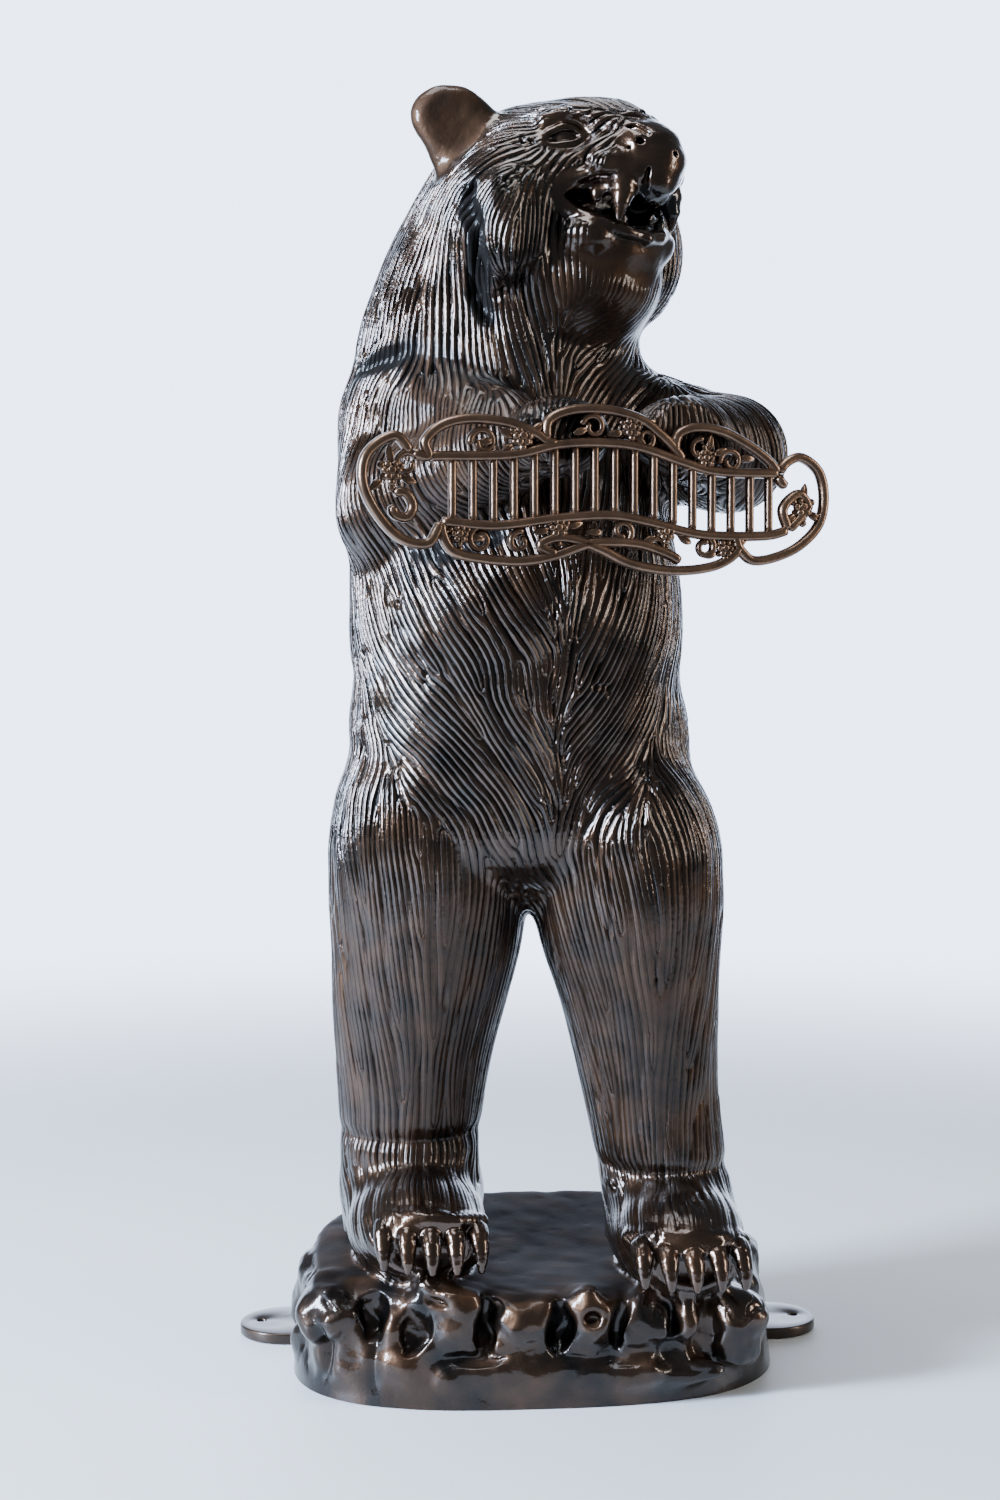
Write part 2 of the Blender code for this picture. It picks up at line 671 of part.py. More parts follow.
def sign_curve(name, points, smooth):
    # A stroke of the plaque, as a square-sided tube along its centre line.
    curve = bpy.data.curves.new(name, "CURVE")
    curve.dimensions = "3D"
    curve.bevel_depth = 0.5 * SIGN_STROKE
    curve.bevel_resolution = 1
    curve.resolution_u = 4
    curve.use_fill_caps = True
    spline = curve.splines.new("BEZIER" if smooth else "POLY")
    scale = sign_scale()
    places = [(x * scale[0], y * scale[1], 0.0) for x, y in points]
    if smooth:
        spline.bezier_points.add(len(places) - 1)
        for point, place in zip(spline.bezier_points, places):
            point.co = place
            point.handle_left_type = "AUTO"
            point.handle_right_type = "AUTO"
    else:
        spline.points.add(len(places) - 1)
        for point, place in zip(spline.points, places):
            point.co = (*place, 1.0)
    ob = bpy.data.objects.new(name, curve)
    bpy.data.collections[COLLECTION].objects.link(ob)
    bpy.context.view_layer.update()
    mesh = evaluated(ob)
    bpy.data.curves.remove(curve)
    return mesh


def height_on(rail, x):
    # Height of a rail above the plaque's middle at a place along it.
    table = np.array(rail, float)
    return float(np.interp(x, table[:, 0], table[:, 1]))


def sign_mesh():
    strokes = [sign_curve("rail", rail, True) for rail in (UPPER_RAIL, LOWER_RAIL)]
    strokes += [sign_curve("scroll", points, True) for points in SCROLLS]
    for x, y, radius, first, sweep in CURLS:
        points = []
        for k in range(9):
            a = math.radians(first + sweep * k / 8)
            r = radius * (1.0 - 0.45 * k / 8)
            points.append((x + r * math.cos(a), y + r * math.sin(a)))
        strokes.append(sign_curve("curl", points, True))
    for k in range(SIGN_BARS):
        x = BAR_SPAN[0] + (BAR_SPAN[1] - BAR_SPAN[0]) * k / (SIGN_BARS - 1)
        ends = ((x, height_on(LOWER_RAIL, x)), (x, height_on(UPPER_RAIL, x)))
        strokes.append(sign_curve("bar", ends, False))
    bm = bmesh.new()
    for mesh in strokes:
        bm.from_mesh(mesh)
        bpy.data.meshes.remove(mesh)
    bmesh.ops.remove_doubles(bm, verts=bm.verts, dist=1e-6)
    thicken = SIGN_THICKNESS / SIGN_STROKE
    for vertex in bm.verts:
        vertex.co.z *= thicken
    scale = sign_scale()
    for x, y, radius in CLUSTERS:
        for dx, dy in CLUSTER:
            place = ((x + dx * radius) * scale[0], (y + dy * radius) * scale[1], 0.0)
            matrix = Matrix.Translation(place) @ Matrix.Diagonal((1.0, 1.0, thicken * 0.8, 1.0))
            size = BERRY_SIZE * radius * scale[0]
            bmesh.ops.create_icosphere(bm, subdivisions=1, radius=size, matrix=matrix)
    mesh = bpy.data.meshes.new("sign_strokes")
    bm.to_mesh(mesh)
    bm.free()
    mesh = remeshed(mesh, SIGN_GRID)
    mesh.transform(sign_matrix() @ Matrix.Translation((0.0, 0.0, -0.5 * SIGN_THICKNESS)))
    return mesh


def thinned(ob, facets):
    # Fewer facets: the modifier keeps those that carry the form.
    ob.data.calc_loop_triangles()
    modifier = ob.modifiers.new("thin", "DECIMATE")
    modifier.ratio = min(1.0, facets / len(ob.data.loop_triangles))


def lug_mesh(name, gap):
    # A tongue with a round end: its tip is at the greatest X, its root runs into the rock.
    radius = 0.5 * LUG_WIDTH + gap
    tip = LUG_REACH + gap
    outline = [(-LUG_ROOT - gap, -radius), (tip - radius, -radius)]
    for k in range(1, 16):
        a = math.radians(-90.0 + 180.0 * k / 16)
        outline.append((tip - radius + radius * math.cos(a), radius * math.sin(a)))
    outline += [(tip - radius, radius), (-LUG_ROOT - gap, radius)]
    loops = [outline]
    if gap == 0.0:
        hole = []
        for k in range(20):
            a = 2.0 * math.pi * k / 20
            x = LUG_REACH - LUG_HOLE_INSET + 0.5 * LUG_HOLE * math.cos(a)
            hole.append((x, 0.5 * LUG_HOLE * math.sin(a)))
        loops.append(hole)
    curve = bpy.data.curves.new(name, "CURVE")
    curve.dimensions = "2D"
    curve.fill_mode = "BOTH"
    curve.extrude = 0.5 * LUG_THICKNESS + gap
    for loop in loops:
        spline = curve.splines.new("POLY")
        spline.points.add(len(loop) - 1)
        spline.use_cyclic_u = True
        for point, place in zip(spline.points, loop):
            point.co = (*place, 0.0, 1.0)
    ob = bpy.data.objects.new(name, curve)
    bpy.data.collections[COLLECTION].objects.link(ob)
    bpy.context.view_layer.update()
    mesh = evaluated(ob)
    bpy.data.curves.remove(curve)
    bm = bmesh.new()
    bm.from_mesh(mesh)
    bmesh.ops.remove_doubles(bm, verts=bm.verts, dist=1e-6)
    bmesh.ops.recalc_face_normals(bm, faces=bm.faces)
    bm.to_mesh(mesh)
    bm.free()
    return mesh


def lug_matrix(side):
    # The lug's root sits on the rock's outline at the lug's place along it.
    y = 0.5 * ROCK_DEPTH - LUG_INSET
    share = (1.0 - abs(2.0 * y / ROCK_DEPTH) ** ROCK_POWER) ** (1.0 / ROCK_POWER)
    x = side * 0.5 * ROCK_WIDTH * share
    place = Matrix.Translation((x, ROCK_SET_BACK + y, 0.5 * LUG_THICKNESS))
    return place @ Matrix.Rotation(0.0 if side > 0 else math.pi, 4, "Z")


def make_lugs(finish):
    for name, side in (("lug_left", -1), ("lug_right", 1)):
        ob = place_object(name, lug_mesh(name, 0.0), COLLECTION)
        ob.matrix_world = lug_matrix(side)
        ob.data.materials.append(finish)


def make_sign(finish):
    ob = place_object("sign", sign_mesh(), COLLECTION)
    thinned(ob, SIGN_FACETS)
    ob.data.materials.append(finish)


def make_bear(finish):
    ob = place_object("bear", statue_mesh(), COLLECTION)
    thinned(ob, BEAR_FACETS)
    ob.data.materials.append(finish)
    for name, side in (("pocket_left", -1), ("pocket_right", 1)):
        pocket = cutter(name, lug_mesh(name, CLEARANCE), lug_matrix(side))
        add_boolean(ob, pocket, "DIFFERENCE")
    seat = box_mesh(
        "seat",
        (-0.55 * SIGN_WIDTH, -0.6 * SIGN_HEIGHT, -SIGN_THICKNESS - CLEARANCE),
        (0.55 * SIGN_WIDTH, 0.8 * SIGN_HEIGHT, 0.08),
    )
    add_boolean(ob, cutter("sign_seat", seat, sign_matrix()), "DIFFERENCE")
    for spike in claws_and_fangs():
        add_boolean(ob, spike, "UNION")
    reach = ROCK_WIDTH
    floor = cutter("floor", box_mesh("floor", (-reach, -reach, -0.05), (reach, reach, 0.0)))
    add_boolean(ob, floor, "DIFFERENCE")


def main():
    for ob in list(bpy.data.objects):
        bpy.data.objects.remove(ob)
    for name in (COLLECTION, CUTTERS):
        bpy.context.scene.collection.children.link(bpy.data.collections.new(name))
    dark = bronze("dark_bronze_lacquer", (0.035, 0.028, 0.024), 0.22, 0.9)
    copper = bronze("copper_brown_casting", (0.14, 0.08, 0.055), 0.38, 0.9)
    make_bear(dark)
    make_sign(copper)
    make_lugs(dark)
    bpy.context.view_layer.update()


if __name__ == "__main__":
    main()
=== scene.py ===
import math
import time
from concurrent.futures import ThreadPoolExecutor

import bmesh
import bpy
import numpy as np
from mathutils import Matrix, Vector


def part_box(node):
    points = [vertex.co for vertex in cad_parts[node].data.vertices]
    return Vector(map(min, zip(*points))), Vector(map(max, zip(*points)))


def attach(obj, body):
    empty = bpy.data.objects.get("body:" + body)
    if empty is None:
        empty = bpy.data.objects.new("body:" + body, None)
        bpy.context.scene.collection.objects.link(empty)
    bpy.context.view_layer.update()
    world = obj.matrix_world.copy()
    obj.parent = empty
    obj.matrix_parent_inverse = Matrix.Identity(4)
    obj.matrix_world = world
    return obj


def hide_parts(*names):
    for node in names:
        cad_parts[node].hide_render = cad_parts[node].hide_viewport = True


began = time.time()
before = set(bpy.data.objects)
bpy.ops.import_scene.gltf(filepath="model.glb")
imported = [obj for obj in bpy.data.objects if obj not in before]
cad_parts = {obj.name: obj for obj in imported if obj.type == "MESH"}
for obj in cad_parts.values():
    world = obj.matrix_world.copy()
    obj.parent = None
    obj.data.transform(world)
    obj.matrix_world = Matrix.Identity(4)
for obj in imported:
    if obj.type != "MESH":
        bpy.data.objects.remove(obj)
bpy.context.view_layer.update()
bearLow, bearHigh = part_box("bear")

# Driving sizes, in drawn millimetres. One drawn millimetre is worked out from the CAD bear.
figure = {
    "earTips": 899.0,  # height of the ear tips above the ground
    "rockTop": 85.0,
    "bodyTurn": 10.0,  # the trunk is turned this many degrees to the bear's left
    "headTurn": 40.0,
    "headMiddle": (10.0, -10.0, 830.0),
    "plaqueTurn": 17.0,
    "plaqueMiddle": (36.0, -165.0, 615.0),
    "plan": ((-182.0, -186.0), (186.0, 168.0)),  # the ground that the skin is looked for on
}
unit = (bearHigh.z - bearLow.z) / figure["earTips"]


def report(what):
    print(f"{time.time() - began:6.1f} s  {what}")


report("frame loaded")


# Shapes in space: each gives its signed distance in millimetres, negative inside
def turned(x, y, degrees):
    # A point turned about +Z.
    a = math.radians(degrees)
    return x * math.cos(a) - y * math.sin(a), x * math.sin(a) + y * math.cos(a)


def axesOf(turn, pitch=0.0, roll=0.0):
    # Rows: the across, depth and up axes of something turned about +Z, then nose up, then rolled.
    m = Matrix.Rotation(math.radians(turn), 3, "Z")
    m = m @ Matrix.Rotation(math.radians(-pitch), 3, "X") @ Matrix.Rotation(math.radians(roll), 3, "Y")
    return np.array(m.transposed())


def headAt(forward, right, up):
    # A place on the head, measured from the middle of the skull.
    x, y = turned(-right, -forward, figure["headTurn"])
    mx, my, mz = figure["headMiddle"]
    return mx + x, my + y, mz + up


def lengthOf(v):
    return np.sqrt((v * v).sum(1))


def mass(place, half, turn=0.0, soft=8.0):
    # Ellipsoid: |q| (|q| - 1) / |q / half|, where q is the point over the half sizes.
    axes = axesOf(turn)
    centre, half = np.array(place, float), np.array(half, float)

    def distance(p):
        q = (p - centre) @ axes.T / half
        far = lengthOf(q) + 1e-6
        return far * (far - 1.0) / (lengthOf(q / half) + 1e-9)

    return {"distance": distance, "centre": centre, "reach": half.max(), "soft": soft}


def cord(points, radii, soft=6.0):
    # Chain of tapered round limbs: distance to the nearest stretch less the radius there.
    points = np.array(points, float)
    radii = np.interp(np.linspace(0, 1, len(points)), np.linspace(0, 1, len(radii)), radii)

    def distance(p):
        best = np.full(len(p), 1e9)
        for a, b, ra, rb in zip(points, points[1:], radii, radii[1:]):
            ab = b - a
            t = np.clip(((p - a) @ ab) / (ab @ ab), 0.0, 1.0)
            best = np.minimum(best, lengthOf(p - a - t[:, None] * ab) - ra - (rb - ra) * t)
        return best

    centre = (points.max(0) + points.min(0)) / 2
    reach = np.linalg.norm(points - centre, axis=1).max() + radii.max()
    return {"distance": distance, "centre": centre, "reach": reach, "soft": soft}


def column(rows, turn, soft):
    # Upright form: at each height an ellipse, whose middle and half sizes ease between rows.
    table = np.array(rows, float)
    heights = np.arange(table[0, 0] - 20.0, table[-1, 0] + 20.0)
    sizes = [sum(np.interp(heights + s, table[:, 0], table[:, k]) for s in (-12, -6, 0, 6, 12)) / 5
             for k in range(1, 5)]

    def distance(p):
        at = [np.interp(p[:, 2], heights, size) for size in sizes]
        x, y = turned(p[:, 0] - at[0], p[:, 1] - at[1], -turn)
        reach = np.sqrt((x / at[2]) ** 2 + (y / at[3]) ** 2) + 1e-9
        ends = np.maximum(table[0, 0] - p[:, 2], p[:, 2] - table[-1, 0])
        return np.maximum((1.0 - 1.0 / reach) * np.hypot(x, y), ends)

    return {"distance": distance, "centre": None, "reach": 0.0, "soft": soft}


def join(a, b, soft):
    # Smooth union: the lower of two distances, with a rounded inner corner.
    h = np.clip(0.5 + 0.5 * (b - a) / soft, 0.0, 1.0)
    return b + (a - b) * h - soft * h * (1.0 - h)


def ease(low, high, value):
    t = np.clip((value - low) / (high - low), 0.0, 1.0)
    return t * t * (3.0 - 2.0 * t)


# The bear's trunk and legs: height, middle across, middle in depth, half width, half depth
trunk = {
    "rows": (
        (332, -4, 19, 22, 40), (352, -6, 18, 74, 78), (378, -7, 17, 110, 98), (420, -8, 15, 121, 107),
        (462, -10, 13, 123, 109), (492, -12, 12, 116, 104), (520, -13, 12, 119, 108),
        (577, -15, 14, 117, 107), (640, -18, 18, 112, 104), (704, -24, 20, 106, 100),
        (740, -26, 17, 99, 94), (770, -26, 13, 88, 86), (800, -24, 10, 78, 78), (835, -17, 8, 64, 66),
        (862, -10, 6, 40, 44),
    ),
    "rightLeg": (
        (92, -86, 20, 50, 54), (120, -88, 22, 53, 56), (152, -90, 26, 49, 52), (190, -88, 26, 53, 57),
        (226, -86, 22, 57, 63), (262, -82, 18, 63, 69), (300, -77, 14, 68, 76), (335, -76, 10, 71, 82),
        (380, -77, 7, 70, 88), (420, -74, 5, 66, 86), (462, -66, 8, 46, 66),
    ),
    "leftLeg": (
        (92, 98, -4, 46, 50), (120, 97, -4, 47, 52), (147, 92, 2, 46, 50), (190, 85, 4, 48, 54),
        (226, 80, 3, 51, 60), (262, 76, 0, 56, 66), (300, 69, -4, 63, 74), (335, 66, -7, 68, 82),
        (380, 63, -6, 69, 88), (415, 58, -2, 62, 84), (450, 50, 4, 44, 64),
    ),
    "leftLegTurn": 8,
    # Masses: place, half sizes, turn in degrees, and how softly each joins the rest
    "masses": (
        ((-14, 70, 405), (84, 52, 70), 0, 30), ((-12, 119, 432), (18, 19, 28), 0, 20),
        ((2, -34, 540), (92, 74, 100), 12, 30), ((-30, 62, 690), (84, 56, 78), 0, 34),
    ),
    "soft": 12,
}


def trunkParts():
    columns = (("rows", figure["bodyTurn"]), ("rightLeg", 0.0), ("leftLeg", trunk["leftLegTurn"]))
    parts = [column(trunk[name], turn, trunk["soft"]) for name, turn in columns]
    return parts + [mass(*entry) for entry in trunk["masses"]]


# Arms folded forward, and the paws behind the plaque
arms = {
    "limbs": (  # places, radii and softness
        (((-90, 8, 672), (-97, -26, 608)), (49, 42), 14),
        (((-94, -32, 618), (-22, -114, 646)), (42, 31), 10),
        (((-86, -14, 684), (-24, -104, 658)), (40, 28), 10),
        (((68, 10, 668), (132, -44, 648)), (47, 38), 12),
        (((132, -46, 648), (98, -106, 652)), (38, 28), 10),
    ),
    "paws": (((8, -140, 650), (33, 30, 26)), ((88, -119, 653), (31, 30, 25))),
    "knuckles": 4,
    "knuckle": (8, 15, 11.5),
    "knuckleStep": 1.9,  # from one to the next, in half widths
    "knuckleBow": 0.016,  # how the outer ones drop
    "knuckleLift": (-15, 8),  # ahead of the middle of the paw, and above it
    "soft": (9, 3, 7),  # paws, knuckles and creases
    # Creases where the arms lie on the chest: places and radii
    "creases": (
        (((-126, -22, 708), (-84, -76, 719), (-44, -94, 706), (-8, -102, 690), (12, -104, 682)),
         (3, 8, 9, 6)),
        (((-106, -72, 584), (-72, -94, 578), (-34, -102, 590)), (1.5, 5.5, 5)),
        (((46, -104, 690), (70, -90, 700), (104, -62, 704)), (4, 6, 4)),
        (((64, -100, 612), (96, -84, 598), (128, -58, 596)), (4, 6, 3)),
    ),
}


def armParts():
    parts = [cord(*limb) for limb in arms["limbs"]]
    turn = figure["plaqueTurn"]
    across = turned(1.0, 0.0, turn)
    ahead, above = arms["knuckleLift"]
    for (x, y, z), half in arms["paws"]:
        parts.append(mass((x, y, z), half, turn, arms["soft"][0]))
        for k in range(arms["knuckles"]):
            s = (k - 0.5 * (arms["knuckles"] - 1)) * arms["knuckleStep"] * arms["knuckle"][0]
            drop = arms["knuckleBow"] * s * s
            place = (x + s * across[0], y + ahead + s * across[1], z + above - drop)
            parts.append(mass(place, arms["knuckle"], turn, arms["soft"][1]))
    return parts


# Feet: a smooth top that ends in a lip, and under the lip stout claws in a dark recess
feet = {
    "soles": (
        ((-84, -22, 106), (49, 66, 42), 4, 10), ((-76, -58, 104), (42, 29, 25), 6, 8),
        ((99, -38, 102), (46, 66, 42), 4, 10), ((104, -74, 97), (39, 28, 24), 6, 8),
    ),
    "lips": (
        ((-114, -56, 118), (-98, -74, 123), (-77, -82, 125), (-57, -80, 123), (-40, -64, 119)),
        ((62, -72, 108), (80, -90, 113), (101, -97, 114), (121, -94, 112), (140, -76, 106)),
    ),
    "lipSize": (5, 5.5, 5.5, 5),
    "recesses": (((-76, -92, 100), (42, 15, 14), 6, 4), ((104, -107, 90), (42, 15, 14), 8, 4)),
    "clawRows": (((-107, -72, 113), (-43, -73, 111), 6), ((69, -89, 104), (135, -87, 102), 8)),
    "claws": 5,
    "arch": 9,  # how far the middle claws stand ahead of the outer ones
    "clawLength": 29,
    "clawWidth": 15,
    "clawFan": 10,
    "clawTaper": (1, 0.97, 0.85, 0.66, 0.36),
    "clawSlope": (30, 65),  # degrees down at the toe, and how much steeper at the tip
    "clawLift": 3,
    # Folds in front of the ankles: middle, half sizes of the leg there, and depth
    "ankles": (((-88, 20, 166), (52, 54), 3.2), ((93, 0, 145), (48, 50), 3.2)),
    "ankleFold": 6,  # half the height of a fold
}


def clawPath(root, fan, joints=6):
    # From the toe forwards, bending down: the slope steepens along the claw.
    first, more = feet["clawSlope"]
    slope = np.radians(first + more * np.linspace(0.0, 1.0, joints))[:-1]
    step = feet["clawLength"] / (joints - 1)
    out, down = (np.concatenate([[0.0], np.cumsum(run(slope) * step)]) for run in (np.cos, np.sin))
    x, y = turned(np.zeros(joints), -out, fan)
    return np.stack([root[0] + x, root[1] + y, root[2] + feet["clawLift"] - down], 1)


def clawParts():
    # The roots stand on a bow: ahead of the straight row by the arch times sin(pi t).
    parts = []
    radii = [0.5 * feet["clawWidth"] * share for share in feet["clawTaper"]]
    t = np.linspace(0.0, 1.0, feet["claws"])
    for first, last, turn in feet["clawRows"]:
        roots = np.array(first, float) + np.outer(t, np.subtract(last, first))
        roots[:, 1] -= feet["arch"] * np.sin(math.pi * t)
        fans = turn + feet["clawFan"] * (t - 0.5)
        parts += [cord(clawPath(root, fan), radii, 1.0) for root, fan in zip(roots, fans)]
    return parts


def footParts():
    return [mass(*sole) for sole in feet["soles"]] + [cord(lip, feet["lipSize"]) for lip in feet["lips"]]


# The head: places are given forward, to the bear's right and up from the middle of the skull
head = {
    "skull": ((0, 0, 0), (80, 86, 64), 24),
    "brow": ((50, 0, 34), (45, 37, 24), 16),
    "rightCheek": ((12, 58, -30), (38, 48, 50), 20),
    "ruff": ((44, 76, -34), (20, 16, 36), 12),
    "leftCheek": ((18, -58, -36), (36, 44, 52), 16),
    "throat": ((26, 2, -74), (52, 46, 34), 22),
    "gullet": ((50, 1, -62), (45, 36, 32), 24),
    "muzzle": ((82, 2, 8), (30, 43, 23), 10),
    "ears": (((-20, 79, 48), (24, 11, 21)), ((-15, 68, 34), (25, 12, 31))),
    "ruffEdge": (
        ((-46, -84, 820), (-50, -87, 808), (-43, -92, 792), (-41, -87, 773), (-43, -77, 752),
         (-37, -77, 738)),
        (2, 5, 6, 6, 5, 3),
    ),
    "earTurn": 40,
    "earCup": ((-6, 84, 42), (20, 6.5, 22)),
}
# What is alike on both sides of the face, given on the right and repeated about the middle:
# place, half sizes, softness and turn of a mass, or places, radii and softness of a cord
face = {
    "middle": 3,
    "frontLip": ((103, 3, -2), (17, 16.5, 17), 6),
    "nose": ((104, 3, 20), (17, 17, 10.5), 5),
    "muzzleTop": (((72, 3, 38), (86, 3, 34), (102, 3, 24)), (13, 12, 9), 9),
    "noseWing": ((101, 17, 16), (7, 12, 9), 5, -35),
    "nostril": ((107, 20, 17), (3.2, 8, 2.6), 2, -35),
    "upperLip": (
        ((60, 52, -8), (70, 45, -4), (80, 39, -1), (90, 34, 2), (97, 29, 3), (104, 22, 0), (108, 12, -6),
         (109, 3, -8)),
        (3.2, 3.6, 4.2, 5.2, 6.8, 6, 5.5, 5.5), 5,
    ),
    "jaw": ((56, 0, -46), (39, 36, 17), 14),
    "jawPad": ((68, 32, -40), (18, 22, 14), 5),
    "chin": ((76, 0, -47), (22, 17, 10), 12),
    "cornerFold": (((64, 51, -4), (58, 54, -11), (62, 50, -20)), (2.4, 2.8, 2.4), 3),
    "lowerLip": (
        ((61, 51, -17), (71, 42, -26), (80, 37, -31), (89, 30, -35), (96, 18, -40), (98, 3, -42)),
        (3, 3.2), 4,
    ),
    "mouth": ((90, 3, -19), (29, 28, 13), 3),
    "mouthCorner": ((68, 38, -15), (10, 17, 4.5), 3, 12),
    "gum": (((80, 31, -12), (91, 27, -10), (99, 18, -10), (102, 3, -12)), (5, 5), 3),
    "tongue": (((54, 3, -36), (74, 3, -33), (88, 3, -37)), (15, 14, 8), 4),
    "lowerGum": (((60, 46, -20), (70, 38, -27), (82, 31, -33), (92, 20, -37), (94, 3, -39)), (4, 5), 3),
    "canine": (((96, 22, -4), (97.5, 25, -12), (98, 27, -21), (97, 28, -32)), (10.5, 9, 6, 1.8), 2),
    "lowerCanine": (((90, 20, -38), (93, 21, -30), (94, 21, -26)), (4.2, 3.2, 1.4), 1.5),
    "smallTeeth": (((81, 33, -14), 4), ((105, 10, -15), 3)),
    "lipBulge": ((92, 30, 5), (15, 9, 9), 6, -20),
    "bridge": (
        ((60, 46, -2), (69, 42, 6), (80, 35, 14), (93, 25, 20), (104, 15, 23)),
        (3.5, 4.5, 5, 5), 8,
    ),
    "browRidge": (
        ((101, 17, 28), (86, 24, 35), (74, 32, 40), (62, 41, 41), (49, 49, 38)),
        (4, 5, 4.5), 8,
    ),
    "eyeSocket": ((66, 47, 27), (15, 8, 10), 7, -35),
    "eye": ((55.5, 37.5, 25), (10, 9.5, 5.5), 1.5, -35),
    "upperLid": (
        ((70, 33, 26), (65, 39, 31), (60, 45, 31.5), (54, 51, 28), (50, 56, 21)),
        (1.6, 3.2, 2), 2.5,
    ),
    "lowerLid": (
        ((70, 33, 26), (66, 40, 21), (60, 46, 19.5), (55, 52, 19), (50, 56, 21)),
        (1.6, 2.6, 2), 2.5,
    ),
    "noseEdge": (
        (((104, 25, 13), (112, 19, 10), (119, 10, 9), (121, 3, 9)), (1.2, 2, 2), 3),
        (((110, 17, 8), (112, 16, 0), (109, 17, -12)), (1.4, 2.2, 1.6), 4),
        (((112, 17, 22), (104, 21, 27), (96, 22, 27)), (1.2, 1.8, 1), 3),
    ),
    "wrinkles": (
        (((68, 38, 15), (60, 47, 11), (52, 56, 12)), (1.4, 1.4), 2.5),
        (((49, 59, 15), (46, 61, 25), (50, 57, 34)), (1.4, 1.4), 2.5),
        (((44, 63, 14), (41, 64, 26), (46, 60, 38)), (1.2, 1.2), 2.5),
    ),
}


def onHead(entry, side=1):
    # On the left side a place is carried over the middle of the face.
    places, sizes, soft, *turn = entry
    middle = face["middle"]
    places = [headAt(f, middle + side * (r - middle), u) for f, r, u in np.reshape(places, (-1, 3))]
    if len(places) > 1:
        return cord(places, sizes, soft)
    return mass(places[0], sizes, figure["headTurn"] + side * sum(turn), soft)


def earPart(place, half, side, soft):
    forward, right, up = place
    return mass(headAt(forward, side * right, up), half, figure["headTurn"] - side * head["earTurn"], soft)


def headParts():
    names = ("skull", "brow", "rightCheek", "ruff", "leftCheek", "throat", "gullet", "muzzle")
    parts = [onHead(head[name]) for name in names]
    for side in (1, -1):
        parts += [earPart(place, half, side, 9) for place, half in head["ears"]]
        for name in ("noseWing", "bridge", "browRidge", "upperLip", "cornerFold", "jawPad", "lipBulge"):
            parts.append(onHead(face[name], side))
    return parts + [onHead(face[name]) for name in ("nose", "jaw", "chin", "muzzleTop")]


def headHollows():
    parts = [onHead(face["mouth"])]
    for side in (1, -1):
        parts.append(earPart(*head["earCup"], side, 6))
        parts += [onHead(face[name], side) for name in ("mouthCorner", "eyeSocket", "nostril")]
    return parts


def faceParts():
    names = ("lowerLip", "lowerGum", "gum", "canine", "lowerCanine", "upperLid", "lowerLid", "eye")
    parts = []
    for side in (1, -1):
        parts += [onHead(face[name], side) for name in names]
        for place, size in face["smallTeeth"]:
            parts.append(onHead((place, (size, size, 1.5 * size), 1.5), side))
    return parts + [onHead(face["tongue"]), onHead(face["frontLip"])]


def faceGrooves():
    return [onHead(groove, side) for groove in face["wrinkles"] + face["noseEdge"] for side in (1, -1)]


# The rock: a squarish outline under a gentle slope, with boulders and hollows along its front
rock = {
    "width": 346,
    "depth": 254,
    "setBack": 25,
    "power": 2.8,  # squareness of the outline
    "rise": 0.075,  # slope of the top, up towards the back
    "skew": 0.05,
    "flare": 0.04,
    "edge": 28,  # rounding of the upper edge
    "fillet": 8,  # between the rock and the feet
    "cleftSoft": 5,
    "lumpPitch": 34,
    "lumpHeight": 8.5,
    "lumpStretch": (1, 1, 0.55),  # below 1 is longer
    "lumpSunk": 0.55,
    "lumpRound": 1.6,
    "pebblePitch": 13,
    "pebbleStretch": (1, 1, 0.8),
    "pebbleHeight": 3.2,
    "pitHeight": 0.9,
    "onTop": (0.1, 0.55, 0.9),  # share of the relief left where the skin faces up by this much
    "inFront": 0.4,  # share of the lumps left in front, where the boulders are
    "uneven": (7, 21),  # how far boulders and clefts are shifted, and over what distance
    "dent": (5, 6, -20, 75, 70),  # hollow between the feet: depth, place and half sizes
    "skirt": (4, 26),  # the relief of the sides rises from nothing between these heights
    "fine": (0.5, 5.5),  # height of the finest lumps, and their distance
    "waves": (0.3, 15),  # the same of the slow waves all over
    "pits": (9, 0.5),  # distance of the pits, and how rare they are
    "boulders": (
        ((-142, -58, 58), (26, 30, 18)), ((-62, -84, 66), (24, 20, 20)), ((-9, -86, 58), (24, 19, 19)),
        ((32, -86, 60), (21, 19, 20)), ((70, -84, 54), (20, 18, 20)), ((97, -80, 50), (15, 17, 24)),
        ((138, -70, 46), (23, 25, 27)), ((-45, -88, 22), (62, 12, 14)), ((56, -87, 20), (72, 12, 13)),
    ),
    "clefts": (
        ((-113, -86, 60), (9, 16, 19)), ((-88, -95, 52), (9, 12, 17)), ((-34, -98, 56), (7, 12, 20)),
        ((11, -98, 52), (6, 11, 17)), ((50, -98, 56), (5, 9, 15)), ((110, -92, 50), (6.5, 14, 22)),
        ((86, -94, 60), (5, 10, 15)), ((-43, -103, 36), (26, 7, 4.5)), ((41, -101, 32), (32, 7, 4)),
        ((33, -104, 63), (7, 8, 6)), ((-70, -102, 72), (6, 7, 5)), ((70, -100, 40), (9, 7, 7)),
        ((-168, -40, 52), (10, 22, 9)), ((-150, -88, 44), (12, 12, 8)),
    ),
}


